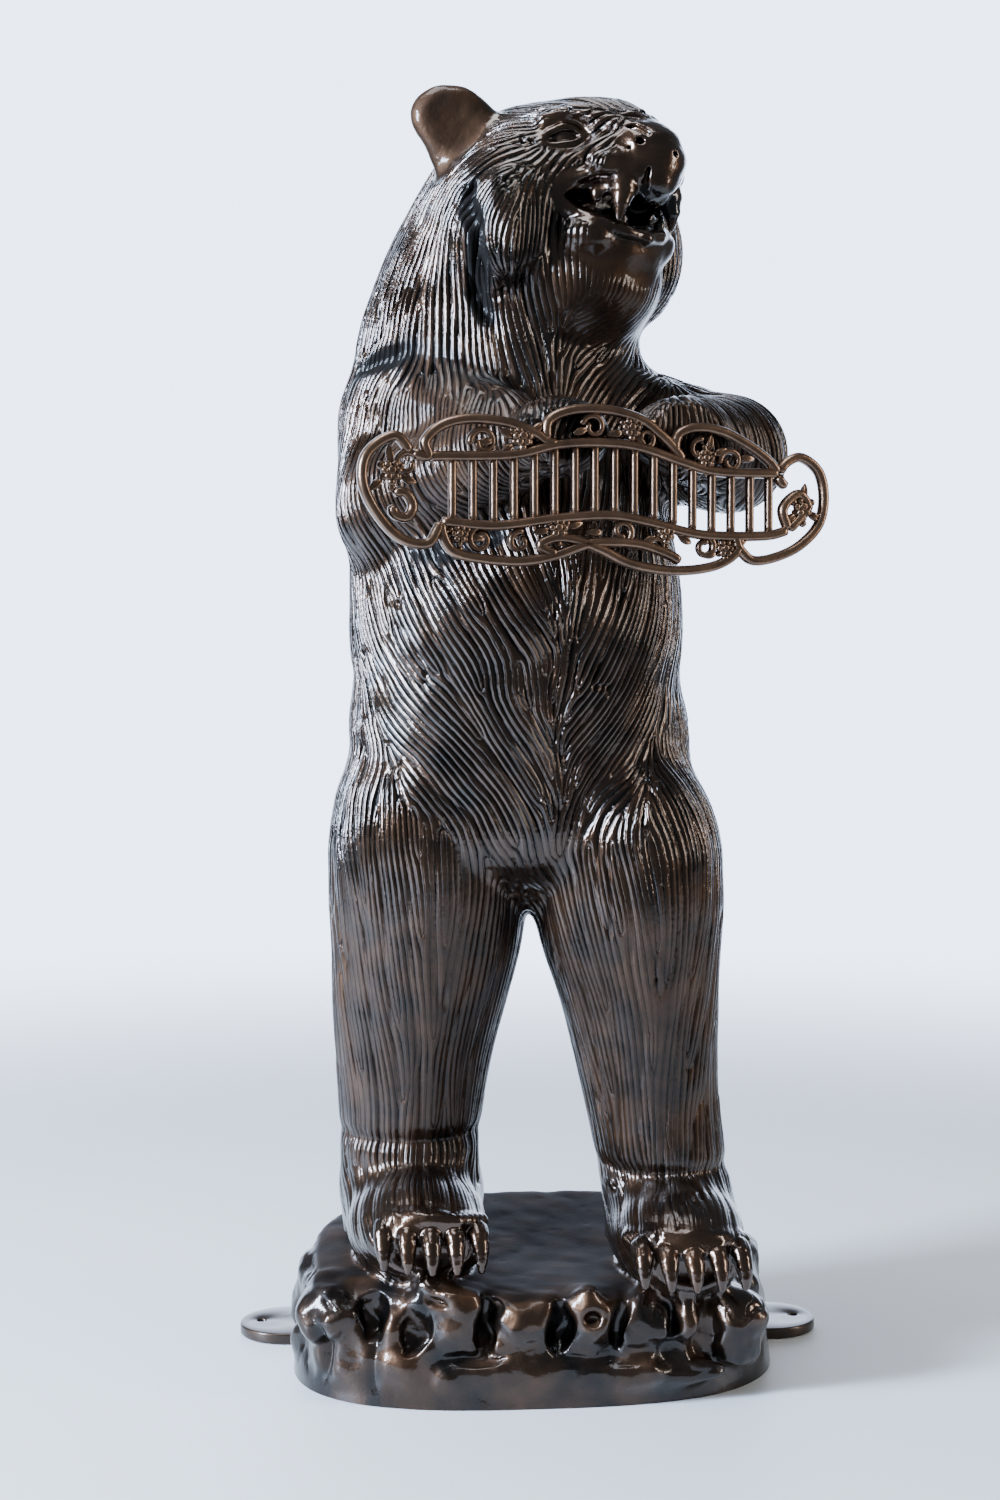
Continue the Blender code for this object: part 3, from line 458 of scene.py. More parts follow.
def rockDistance(p):
    # Superellipse in plan that narrows upwards, cut by the sloping top with a rounded edge.
    x = p[:, 0]
    y = p[:, 1] - rock["setBack"] - rock["skew"] * x
    grow = 1.0 - rock["flare"] * p[:, 2] / figure["rockTop"]
    power = rock["power"]
    across = np.abs(2.0 * x / (rock["width"] * grow)) ** power
    along = np.abs(2.0 * y / (rock["depth"] * grow)) ** power
    side = (1.0 - 1.0 / ((across + along) ** (1.0 / power) + 1e-9)) * np.hypot(x, y)
    depth, middleX, middleY, wide, long = rock["dent"]
    hollow = depth * np.exp(-((x - middleX) / wide) ** 2 - ((y - middleY) / long) ** 2)
    top = p[:, 2] - figure["rockTop"] - rock["rise"] * y + hollow
    return -join(-side, -top, rock["edge"])


figureParts = trunkParts() + footParts() + headParts() + armParts()
hollowParts = headHollows() + [mass(*recess) for recess in feet["recesses"]]
lateParts = clawParts() + faceParts()
creases = [cord(points, radii, arms["soft"][2]) for points, radii in (*arms["creases"], head["ruffEdge"])]
lateGrooves = faceGrooves() + creases
boulders = [mass(place, half) for place, half in rock["boulders"]]
clefts = [mass(place, half, 0.0, rock["cleftSoft"]) for place, half in rock["clefts"]]


def combine(d, p, parts, sense):
    # Each part changes the distance only near itself, so the rest of the points are left out.
    low, high = p.min(0), p.max(0)
    for part in parts:
        if part["centre"] is None:
            d = part["distance"](p) if d is None else join(d, part["distance"](p), part["soft"])
            continue
        near = part["reach"] + part["soft"] + 14.0
        if (part["centre"] + near < low).any() or (part["centre"] - near > high).any():
            continue
        away = p - part["centre"]
        at = np.nonzero((away * away).sum(1) < near * near)[0]
        if len(at):
            d[at] = sense * join(sense * d[at], part["distance"](p[at]), part["soft"])
    return d


def bearDistance(p):
    # The bear alone: forms joined, hollows cut, then claws, teeth and eyelids joined.
    d = combine(None, p, figureParts, 1.0)
    for parts, sense in ((hollowParts, -1.0), (lateParts, 1.0), (lateGrooves, -1.0)):
        d = combine(d, p, parts, sense)
    for (x, y, z), (wide, deep), depth in feet["ankles"]:
        ring = np.hypot((p[:, 0] - x) / wide, (p[:, 1] - y) / deep)
        front = ease(20.0, -20.0, p[:, 1] - y) * ease(1.5, 1.2, ring)
        d = d + front * depth * np.exp(-((p[:, 2] - z) / feet["ankleFold"]) ** 2)
    return d


def stoneDistance(p):
    # The rock with its boulders and clefts, which random shifts of the points make uneven.
    d = np.full(len(p), 60.0)
    near = np.nonzero(p[:, 2] < figure["rockTop"] + 50.0)[0]
    if len(near):
        q = p[near]
        far, cell = rock["uneven"]
        shift = np.stack([noise(q, cell, name) for name in ("driftX", "driftY", "pebble")], 1)
        q = q + far * ease(8.0, 45.0, q[:, 2:]) * shift * (1.0, 0.5, 1.0)
        d[near] = combine(combine(rockDistance(p[near]), q, boulders, 1.0), q, clefts, -1.0)
    return d


def statueDistance(p):
    d = join(bearDistance(p), stoneDistance(p), rock["fillet"])
    return -join(-d, seatDistance(p), 1.5)


def slopeOf(p, step=0.4):
    # Gradient from three forward differences, and the distance itself in a fourth column.
    d = statueDistance(p)
    g = [(statueDistance(p + step * np.eye(3)[k]) - d) / step for k in range(3)]
    return np.stack(g + [d], 1)


# Smooth random values, for fur, rock and wear
def lattice(seed):
    return np.random.default_rng(seed).uniform(-1.0, 1.0, (32, 32, 32)).astype(np.float32)


tables = {name: lattice(seed) for seed, name in enumerate(
    ("strand", "lump", "pebble", "pit", "driftX", "driftY", "wear"), 3)}

tilt = axesOf(37.0, 31.0, 23.0)  # turned so that no cell of the noise lies along an axis


def corners(i, f):
    # The eight nodes round each point, and the share of each: the product of its nearnesses.
    near = (1.0 - f, f)
    for a, b, c in np.ndindex(2, 2, 2):
        yield (a, b, c), i + (a, b, c), near[a][:, 0] * near[b][:, 1] * near[c][:, 2]


def noise(p, cell, name):
    # Value noise: random numbers at the corners of tilted cubes, eased between them.
    q = p @ tilt / cell
    i = np.floor(q).astype(np.int32)
    f = (q - i).astype(np.float32)
    f = f * f * (3.0 - 2.0 * f)
    total = 0.0
    for _, at, share in corners(i, f):
        total = total + share * tables[name][tuple((at & 31).T)]
    return total


# The way the fur lies, as strokes of the comb
fur = {
    "front": (  # place across and up, then the way
        (-85, 568, 0.65, -0.76), (-58, 538, 0.65, -0.76), (-12, 541, 0.6, -0.8), (-98, 531, 0.62, -0.79),
        (-105, 515, 0.82, -0.57), (0, 560, 0.35, -0.94), (24, 555, -0.25, -0.96), (45, 544, -0.36, -0.93),
        (67, 524, -0.54, -0.84), (90, 519, -0.25, -0.97), (-28, 443, 0.6, -0.8), (-80, 468, 0.84, -0.54),
        (-60, 429, 0.66, -0.75), (54, 462, -0.68, -0.74), (49, 425, -0.69, -0.73), (-4, 411, 0.5, -0.87),
        (24, 402, -0.4, -0.92), (-108, 375, 0, -1), (-58, 357, 0, -1), (-20, 372, 0.26, -0.96),
        (59, 350, 0.12, -0.99), (28, 355, 0.15, -0.98), (95, 410, 0.3, -0.95), (-4, 732, 0.35, -0.94),
        (11, 702, 0.3, -0.95), (32, 720, -0.9, -0.45), (47, 728, -0.95, -0.3), (42, 704, -0.84, -0.55),
        (35, 687, -0.8, -0.6), (-29, 744, 0.1, -1), (-74, 732, -0.05, -1), (-96, 763, -0.15, -1),
        (-110, 700, -0.75, -0.66), (-108, 668, -0.3, -0.95), (-66, 680, 0.24, -0.97),
        (-40, 672, 0.3, -0.95), (-124, 626, 0.1, -0.99), (-114, 603, 0.5, -0.86), (129, 673, 0.28, -0.96),
        (153, 664, 0.45, -0.9), (-70, 300, 0, -1), (70, 300, 0.05, -1), (-60, 600, 0.55, -0.83),
        (50, 600, -0.4, -0.9),
    ),
    "side": (  # on the head: forward and up, then the way, alike on both sides
        (64, 40, -1, 0.05), (37, 34, -0.91, -0.41), (50, 9, -0.8, -0.6), (9, 9, -0.75, -0.66),
        (28, -6, -0.6, -0.8), (-5, -21, -0.42, -0.9), (-33, -52, -0.2, -0.98), (25, -52, -0.1, -1),
        (47, -61, 0, -1), (-2, 50, -0.97, -0.25), (35, 60, -1, -0.05), (-12, -3, -0.6, -0.8),
        (53, -18, -0.55, -0.85), (-40, -90, 0.05, -1), (-70, 0, -0.3, -0.95), (-40, 45, -0.9, -0.45),
        (86, 8, -0.55, -0.84), (76, 12, -0.6, -0.8), (20, -95, 0.1, -1), (70, -75, 0, -1),
    ),
    "reach": 20,  # how far a stroke is felt
    "calm": 0.03,  # the share of the way downwards where no stroke is felt
    "depth": 1.25,
    "headDepth": 0.8,  # share of the depth that is left on the head
    "lockDepth": 1.8,
    "wander": (0.12, 45),  # how much the way strays, and over what distance
    # Combed forwards on the forearms and over the feet: how far, and where in depth and height
    "forearms": (0.6, (-62, -92), (725, 705), (560, 600)),
    "overFeet": (1.2, (165, 130)),
    "parting": (0.35, (10, 60), -20, 25),  # sideways on the back, from a line outwards
    "frontEnds": ((30, -30), (775, 745)),  # in depth and height
    "headStarts": (730, 770),
    "uneven": (0.9, 0.6, 14),  # mean depth of the strands, its changes, and over what distance
    "unevenEnds": (0.6, 1.3),
    "ridge": 0.6,  # power of |sin|, lower for flatter strands
    "flat": (0.75, 0.7),  # shares of a strand's and a lock's height that lie below the form
    "pores": ((0.45, 9, "pebble"), (0.14, 2.6, "pit")),  # on bare skin: height, distance, table
    "shallower": ((160, 125, 0.6), (400, 320, 0.4)),  # between these heights, by this share
    "bareLips": (("upperLip", (4.5, 5, 5.5, 6.5, 8.5, 8, 7.5, 7.5)), ("lowerLip", (5.5, 5.5))),
    "bareHead": (  # place, half sizes, turn, and how far off the fur is whole
        ((108, 3, 10), (28, 24, 24), 0, 7), ((92, 3, -20), (38, 34, 19), 0, 7),
        ((68, 0, -44), (42, 50, 24), 0, 9), ((34, 0, -72), (48, 42, 30), 0, 18),
        ((61, 45, 27), (15, 12, 11), -35, 5), ((61, -39, 27), (15, 12, 11), 35, 5),
        ((-18, 75, 38), (33, 17, 35), -40, 6), ((-18, -75, 38), (33, 17, 35), 40, 6),
    ),
    "bareFeet": (((-76, -96, 102), (46, 20, 26), 4), ((104, -110, 94), (46, 20, 26), 4)),
}
bareParts = [(onHead((face[lip][0], radii, 0)), 3.0) for lip, radii in fur["bareLips"]]
for place, half, turn, margin in fur["bareHead"]:
    bareParts.append((mass(headAt(*place), half, figure["headTurn"] + turn), margin))
bareParts += [(mass(*entry), 8.0) for entry in fur["bareFeet"]]


def bareShare(p):
    # 1 where there is fur, falling to 0 on nose, lips, jaw, throat, eyes, ears and toes.
    share = np.ones(len(p))
    for part, margin in bareParts:
        share *= ease(0.0, margin, part["distance"](p) - 1.0)
    return share


def combed(way, share, places, strokes, axes):
    # The way gives place, by the share, to the mean of the strokes' ways, each weighted by
    # exp(-(distance / reach)^2); they are given along two axes.
    total = np.zeros(len(places[0]))
    ways = np.zeros((len(total), 2))
    for a, b, da, db in strokes:
        w = np.exp(-((places[0] - a) ** 2 + (places[1] - b) ** 2) / fur["reach"] ** 2)
        ways += np.stack([w * da, w * db], 1)
        total += w
    share = (share / (total + fur["calm"]))[:, None]
    return way * (1.0 - share * total[:, None]) + share * (ways @ np.array(axes, float))


def furWay(p):
    # Downwards, parted along the back, then as combed on the front and on the head.
    y, z = p[:, 1], p[:, 2]
    way = np.zeros_like(p)
    way[:, 2] = -1.0
    onArms, depth, above, below = fur["forearms"]
    onFeet, span = fur["overFeet"]
    way[:, 1] -= onFeet * ease(*span, z) + onArms * (ease(*depth, y) * ease(*above, z) * ease(*below, z))
    aside, depth, line, width = fur["parting"]
    way[:, 0] += aside * ease(*depth, y) * np.tanh((p[:, 0] - line) / width)
    depth, above = fur["frontEnds"]
    front = ease(*depth, y) * ease(*above, z)
    way = combed(way, front, (p[:, 0], z), fur["front"], ((1, 0, 0), (0, 0, 1)))
    a = math.radians(figure["headTurn"])
    q = p - np.array(figure["headMiddle"])
    forward = -turned(q[:, 0], q[:, 1], -figure["headTurn"])[1]
    ahead = (math.sin(a), -math.cos(a), 0.0)
    above = ease(*fur["headStarts"], z)
    way = combed(way, above, (forward, q[:, 2]), fur["side"], (ahead, (0, 0, 1)))
    amount, cell = fur["wander"]
    drift = np.stack([noise(p, cell, "driftX"), noise(p, cell, "driftY"), np.zeros(len(p))], 1)
    return way + amount * drift


workers = ThreadPoolExecutor(4)


def inChunks(work, p, size=30000):
    # A function of points, run on a few thousand of them at a time, side by side.
    return np.concatenate(list(workers.map(work, [p[k:k + size] for k in range(0, len(p), size)])))


# Strands of fur are waves across the way of the fur, kept as phases on a coarse grid
comb = {
    "low": (-212.0, -212.0, 84.0),
    "high": (212.0, 204.0, 924.0),
    "step": 8.0,
    "rounds": 240,
    "strandPair": 8.4,  # width of two strands
    "lockPair": 36.0,  # width of two locks
    "uneven": (0.35, 26.0),  # how much the widths vary, and over what distance
    "reach": 12.0,  # how far from the form a node still counts
    "inertia": 0.35,  # share of its own phase that a node keeps
    "alongFur": (0.12, 0.25),  # weight of a neighbour across the fur, and what is added along it
}


def nodesOf(counts):
    # The numbers of a grid's nodes along each axis, one row a node.
    return np.stack(np.meshgrid(*[np.arange(n) for n in counts], indexing="ij"), -1).reshape(-1, 3)


def combGrid():
    # At each node the gradient of the form, the way of the fur less its part along that
    # gradient, and the direction across the fur: the product of the two.
    low, high, step = np.array(comb["low"]), np.array(comb["high"]), comb["step"]
    counts = np.ceil((high - low) / step).astype(int) + 1
    p = low + step * nodesOf(counts)
    gd = inChunks(slopeOf, p)
    g = gd[:, :3] / (lengthOf(gd[:, :3])[:, None] + 1e-6)
    g = g.reshape(*counts, 3)
    for axis in range(3):
        g = g + 0.5 * (np.roll(g, 1, axis) + np.roll(g, -1, axis))
    g = g.reshape(-1, 3)
    g /= lengthOf(g)[:, None] + 0.5
    way = inChunks(furWay, p)
    way -= (way * g).sum(1)[:, None] * g
    way /= lengthOf(way)[:, None] + 0.05
    across = np.cross(g, way)
    vary, cell = comb["uneven"]
    across *= (1.0 + vary * noise(p, cell, "wear"))[:, None]
    grid = {"low": low, "step": step, "counts": counts}
    grid["across"] = across.reshape(*counts, 3).astype(np.float32)
    grid["way"] = way.reshape(*counts, 3).astype(np.float32)
    grid["near"] = np.exp(-(gd[:, 3] / comb["reach"]) ** 2).reshape(counts).astype(np.float32) + 1e-5
    for name, seed in (("strandPair", 41), ("lockPair", 43)):
        grid[name] = laidOut(grid, comb[name], seed)
    return grid


def laidOut(grid, width, seed):
    # From random phases, each node takes again and again the mean of what its neighbours say:
    # their phase plus the distance across the fur over the width. Neighbours along the fur count
    # most, so the strands run on, and end where too many meet.
    wave = 2.0 * math.pi * grid["step"] / width
    beside, along = comb["alongFur"]
    phase = np.exp(1j * np.random.default_rng(seed).uniform(-3.14, 3.14, grid["counts"])).astype(np.complex64)
    carry, weights = [], np.full(grid["counts"], 1e-9, np.float32)
    for axis in range(3):
        across = np.moveaxis(grid["across"][..., axis], axis, 0)
        way = np.moveaxis(grid["way"][..., axis], axis, 0)
        near = np.moveaxis(grid["near"], axis, 0)
        weight = near[1:] * near[:-1] * (beside + along * (way[1:] + way[:-1]) ** 2)
        carry.append((weight * np.exp(0.5j * wave * (across[1:] + across[:-1]))).astype(np.complex64))
        summed = np.moveaxis(weights, axis, 0)
        summed[1:] += weight
        summed[:-1] += weight
    for _ in range(comb["rounds"]):
        total = comb["inertia"] * weights * phase
        for axis in range(3):
            here, there = np.moveaxis(total, axis, 0), np.moveaxis(phase, axis, 0)
            here[:-1] += np.conj(carry[axis]) * there[1:]
            here[1:] += carry[axis] * there[:-1]
        phase = total / (np.abs(total) + 1e-12)
    return phase


def nodesRound(grid, p):
    q = (p - grid["low"]) / grid["step"]
    i = np.clip(np.floor(q).astype(np.int32), 0, grid["counts"] - 2)
    return i, (q - i).astype(np.float32)


def phaseAt(grid, name, p):
    # The eight nodes round a point, each carried to the point and weighed by its nearness.
    i, f = nodesRound(grid, p)
    wave = 2.0j * math.pi * grid["step"] / comb[name]
    total, weights = 0.0, 1e-9
    for corner, at, share in corners(i, f):
        at = tuple(at.T)
        w = share * grid["near"][at]
        ahead = ((f - corner) * grid["across"][at]).sum(1)
        total = total + w * grid[name][at] * np.exp(wave * ahead)
        weights = weights + w
    return total / weights


def wayAt(grid, p):
    # The way of the fur, read between the eight nodes round a point.
    i, f = nodesRound(grid, p)
    return sum(share[:, None] * grid["way"][tuple(at.T)] for _, at, share in corners(i, f.clip(0.0, 1.0)))


# How far the finish is rubbed down to copper, from 0 to 1, less painted shade in the creases and the mouth,
# and where the lacquer is dull
wear = {
    "mean": 0.42,
    "streaks": (0.16, 16),  # how much upright streaks change it, and their width
    "patches": (0.12, 70),
    "front": 0.14,  # how much more is worn in front
    "onFur": (0.3, 0.7),  # the least, and how much of the wear comes on top
    "onSmooth": (0.42, 0.5),
    "onRock": (0.34, 0.5, 0.25),  # the least, on lumps and on pebbles
    "onEars": (0.3, 0.4),
    "mouthShade": 0.6,  # how much less copper in the mouth: painted shade in its hollow
    "inCreases": (9, 0.8),  # how near a crease, and how dark it is painted there: painted shade, which also takes off the lacquer
    "spot": 0.85,
    # Where hands and cloths have rubbed it: place and half sizes, on the head and elsewhere
    "headSpots": (
        ((112, 8, -2), (10, 8, 9)), ((98, 32, 2), (10, 10, 6)), ((100, 27, -16), (10, 9, 14)),
        ((104, 20, 24), (9, 7, 6)), ((-10, 80, 50), (12, 12, 12)),
    ),
    "spots": (
        ((-74, -92, 122), (26, 14, 7)), ((104, -104, 110), (28, 14, 8)), ((-76, -98, 103), (34, 12, 16)),
        ((104, -112, 94), (36, 12, 18)), ((32, -106, 66), (24, 12, 14)), ((-8, -106, 66), (22, 12, 12)),
        ((-60, -104, 74), (24, 14, 10)),
    ),
    # Dull bands: how dull, and the heights over which each fades above and below
    "arms": (0.4, (722, 700), (570, 600)),
    "legs": (0.5, (390, 290), (110, 190)),
    "throat": (0.6, (795, 765), (690, 720)),
    "dullRock": 0.3,
    "dullEars": 0.55,
    "ear": ((-18, 78, 42), (30, 16, 36)),
}
rubbedSpots = [mass(headAt(*place), half, figure["headTurn"]) for place, half in wear["headSpots"]]
rubbedSpots += [mass(*spot) for spot in wear["spots"]]


def relief(p, normal):
    # How far the skin stands off the form, and how much copper is rubbed bare on it, less painted shade in
    # the creases and the mouth:
    # |sin| of the strand's and the lock's phase on fur, noise folded at nought on rock.
    y, z = p[:, 1], p[:, 2]
    onRock = ease(-3.0, 5.0, inChunks(lambda q: bearDistance(q) - rockDistance(q), p))
    strand = inChunks(lambda q: phaseAt(grid, "strandPair", q), p)
    lock = inChunks(lambda q: phaseAt(grid, "lockPair", q), p)
    furred = inChunks(bareShare, p) * (1.0 - onRock)
    furred = furred * ease(0.08, 0.3, lengthOf(inChunks(lambda q: wayAt(grid, q), p)))
    mean, change, cell = fur["uneven"]
    deep = np.clip(mean + change * noise(p, cell, "strand"), *fur["unevenEnds"])
    for above, below, share in fur["shallower"]:
        deep *= 1.0 - share * ease(above, below, z)
    drawn = furred * ease(0.02, 0.15, np.abs(strand)) * deep
    ridge = np.abs(np.sin(np.angle(strand))) ** fur["ridge"]
    bulge = np.sqrt(np.abs(np.sin(np.angle(lock)))) * ease(0.2, 0.6, np.abs(lock))
    low, lower = fur["flat"]
    height = drawn * fur["depth"] * (ridge - low) + furred * fur["lockDepth"] * (bulge - lower)
    height *= 1.0 - (1.0 - fur["headDepth"]) * ease(735.0, 790.0, z)
    smooth = (1.0 - furred) * (1.0 - onRock)
    height += smooth * sum(high * noise(p, cell, name) for high, cell, name in fur["pores"])

    lumps = 2.0 * np.abs(noise(p * rock["lumpStretch"], rock["lumpPitch"], "lump")) - rock["lumpSunk"]
    lumps = np.tanh(rock["lumpRound"] * lumps) / rock["lumpRound"]
    pebbles = noise(p * rock["pebbleStretch"], rock["pebblePitch"], "pebble")
    left, tilted, level = rock["onTop"]
    top = ease(tilted, level, normal[:, 2])
    front = ease(-50.0, -80.0, y) * ease(140.0, 120.0, np.abs(p[:, 0]))
    rough = onRock * ease(*rock["skirt"], z) * (1.0 - (1.0 - left) * top)
    height += rough * (1.0 - (1.0 - rock["inFront"]) * front) * rock["lumpHeight"] * lumps
    (high, cell), (wave, broad), (pitch, rare) = rock["fine"], rock["waves"], rock["pits"]
    height += rough * (rock["pebbleHeight"] * pebbles + high * noise(p, cell, "strand"))
    pit = np.clip(noise(p, pitch, "pit") - rare, 0.0, 1.0)
    height += onRock * (wave * noise(p, broad, "pit") - rock["pitHeight"] * pit)

    (streak, wide), (patch, broad) = wear["streaks"], wear["patches"]
    worn = wear["mean"] + streak * noise(p * (1.0, 1.0, 0.25), wide, "wear") + patch * noise(p, broad, "pit")
    worn = worn - wear["front"] * normal[:, 1]
    rubAndShade = furred * (wear["onFur"][0] + wear["onFur"][1] * worn)
    # Painted shade: less copper inside the mouth's hollow.
    shadedMouth = ease(4.0, -1.0, onHead(face["mouth"])["distance"](p)) * (1.0 - furred)
    rubAndShade += smooth * (wear["onSmooth"][0] + wear["onSmooth"][1] * worn) * (1.0 - wear["mouthShade"] * shadedMouth)
    least, lumpShare, pebbleShare = wear["onRock"]
    onPebbles = ease(0.1, 0.6, pebbles) * worn
    rubAndShade += onRock * (least + ease(-0.1, 0.5, lumps) * lumpShare * worn + pebbleShare * onPebbles)
    for spot in rubbedSpots:
        rubAndShade = np.maximum(rubAndShade, wear["spot"] * ease(4.0, -3.0, spot["distance"](p)))

    dull = onRock * np.maximum(top, wear["dullRock"])
    reached = furred * ease(-40.0, -80.0, y)
    for name, share in (("arms", reached), ("legs", furred), ("throat", smooth)):
        amount, above, below = wear[name]
        dull = np.maximum(dull, amount * share * ease(*above, z) * ease(*below, z))
    for side in (1, -1):
        ear = ease(3.0, -2.0, earPart(*wear["ear"], side, 0)["distance"](p))
        dull = np.maximum(dull, wear["dullEars"] * ear)
        rubAndShade = np.maximum(rubAndShade, ear * (wear["onEars"][0] + wear["onEars"][1] * worn))
    # Painted shade along the creases: the copper is taken down and the lacquer made dull near each crease.
    near, creaseDarkness = wear["inCreases"]
    for crease in creases:
        creaseShade = creaseDarkness * ease(near, 0.0, inChunks(crease["distance"], p))
        rubAndShade = rubAndShade * (1.0 - creaseShade)
        dull = np.maximum(dull, creaseShade)
    return {"rubAndShade": rubAndShade, "fur": drawn, "dull": dull, "combX": strand.real, "combY": strand.imag}, height


# From the field to a skin
def sampledField(low, high, step, block=6):
    # Distances on a grid (rows by height, depth, across). Only blocks that the surface may
    # cross are worked out node by node; the others take the distance at their middle.
    low = np.array(low, float)
    counts = np.ceil((np.array(high) - low) / (block * step)).astype(int)[::-1]
    index = nodesOf(counts)
    middle = low + step * (index[:, ::-1] * block + 0.5 * (block - 1))
    d = inChunks(statueDistance, middle)
    near = np.nonzero(np.abs(d) < 1.2 * block * step)[0]
    values = d.reshape(counts)
    for axis in range(3):
        values = np.repeat(values, block, axis)
    nodes = (index[near][:, None, :] * block + nodesOf([block] * 3)).reshape(-1, 3)
    values[tuple(nodes.T)] = inChunks(statueDistance, low + step * nodes[:, ::-1])
    return values, low


def netOf(values, low, step):
    # The skin round the negative values: one point in each cell that the surface crosses, at
    # the mean of its crossings, and one quad across each grid line that the surface crosses.
    inside = values < 0
    cells, spots, quads = [], [], []
    steps = np.eye(3, dtype=int)
    for axis in range(3):
        here = (slice(1, -1),) * 3
        ahead = tuple(slice(2, None) if k == axis else slice(1, -1) for k in range(3))
        at = np.argwhere(inside[here] != inside[ahead]) + 1
        a, b = values[tuple(at.T)], values[tuple((at + steps[axis]).T)]
        spots += [at + steps[axis] * (a / (a - b))[:, None]] * 4
        one, two = steps[(axis + 1) % 3], steps[(axis + 2) % 3]
        beside = [at - m * one - n * two for m, n in ((1, 1), (0, 1), (0, 0), (1, 0))]
        cells += [np.ravel_multi_index(cell.T, values.shape) for cell in beside]
        quad = np.stack(cells[-4:], 1)
        quads.append(np.where((a < 0)[:, None], quad[:, ::-1], quad))
    cells = np.concatenate(cells)
    spots = np.concatenate(spots)
    used, place = np.unique(cells, return_inverse=True)
    count = np.bincount(place)
    middle = np.stack([np.bincount(place, spots[:, k]) / count for k in (2, 1, 0)], 1)
    return low + step * middle, np.searchsorted(used, np.concatenate(quads))


def readOut(items, name, width=1, kind=np.float32):
    # One property of all items, as rows.
    values = np.empty(width * len(items), kind)
    items.foreach_get(name, values)
    return values.reshape(-1, width)


def placed(name, mesh):
    ob = bpy.data.objects.new(name, mesh)
    bpy.context.scene.collection.objects.link(ob)
    return ob


def meshOf(name, spots, faces):
    # A mesh from points in metres and faces of one size.
    mesh = bpy.data.meshes.new(name)
    mesh.vertices.add(len(spots))
    mesh.vertices.foreach_set("co", np.ascontiguousarray(spots, np.float32).ravel())
    mesh.loops.add(faces.size)
    mesh.loops.foreach_set("vertex_index", np.ascontiguousarray(faces, np.int32).ravel())
    mesh.polygons.add(len(faces))
    mesh.polygons.foreach_set("loop_start", np.arange(0, faces.size, faces.shape[1], dtype=np.int32))
    mesh.polygons.foreach_set("use_smooth", np.ones(len(faces), bool))
    mesh.update(calc_edges=True)
    return mesh


def evened(p, edges, amount):
    # Each point moved towards the middle of its neighbours.
    count = np.bincount(edges.ravel(), minlength=len(p))
    total = np.stack([
        np.bincount(edges[:, 0], p[edges[:, 1], k], len(p))
        + np.bincount(edges[:, 1], p[edges[:, 0], k], len(p))
        for k in range(3)
    ], 1)
    return p + amount * (total / np.maximum(count, 1)[:, None] - p)


def drawnOn(p, edges, rounds, step):
    # Newton steps along the gradient onto the form, with the points kept evenly spread.
    for _ in range(rounds):
        p = evened(p, edges, 0.5)
        gd = inChunks(slopeOf, p)
        g, d = gd[:, :3], gd[:, 3]
        move = -(d / ((g * g).sum(1) + 0.05))[:, None] * g
        p = p + move * np.minimum(1.0, step / (lengthOf(move) + 1e-9))[:, None]
    return p


def cutFlat(bm, height, sense):
    # Everything beyond a level is taken off, and the cut closed.
    geometry = bm.verts[:] + bm.edges[:] + bm.faces[:]
    made = bmesh.ops.bisect_plane(
        bm, geom=geometry, dist=1e-7, plane_co=(0, 0, height), plane_no=(0, 0, sense), clear_outer=True)
    rim = [item for item in made["geom_cut"] if isinstance(item, bmesh.types.BMEdge)]
    bmesh.ops.triangle_fill(bm, use_beauty=True, edges=rim, normal=(0, 0, sense))


def thinned(mesh, target):
    # Facets are merged where the skin is nearly flat, until about the target is left.
    mesh.calc_loop_triangles()
    ob = placed("thin", mesh)
    modifier = ob.modifiers.new("thin", "DECIMATE")
    modifier.ratio = min(1.0, target / len(mesh.loop_triangles))
    made = bpy.data.meshes.new_from_object(ob.evaluated_get(bpy.context.evaluated_depsgraph_get()))
    bpy.data.objects.remove(ob)
    return made


def bearPart(name, low, high, spacing, target):
    # One length of the casting, between two levels.
    (left, front), (right, back) = figure["plan"]
    margin = 4.0 * spacing
    field = sampledField((left, front, low - margin), (right, back, high + margin), spacing)
    p, quads = netOf(*field, spacing)
    mesh = meshOf(name, p, quads)
    p = drawnOn(p, readOut(mesh.edges, "vertices", 2, np.int32), 2, spacing)
    normal = inChunks(slopeOf, p)[:, :3]
    normal /= lengthOf(normal)[:, None] + 1e-9
    painted, height = relief(p, normal)
    p = p + height[:, None] * normal
    mesh.vertices.foreach_set("co", np.ascontiguousarray(p * unit, np.float32).ravel())
    mesh.update()
    for key, values in painted.items():
        mesh.attributes.new(key, "FLOAT", "POINT").data.foreach_set("value", values.astype(np.float32))
    own = readOut(mesh.vertex_normals, "vector", 3)
    mesh.attributes.new("own", "FLOAT_VECTOR", "POINT").data.foreach_set("vector", own.ravel())
    report(f"{name}: skin of {2 * len(mesh.polygons)} triangles")
    mesh = thinned(mesh, target)
    bm = bmesh.new()
    bm.from_mesh(mesh)
    cutFlat(bm, low * unit, -1)
    cutFlat(bm, high * unit, 1)
    bm.to_mesh(mesh)
    bm.free()
    keepNormals(mesh)
    return placed(name, mesh)


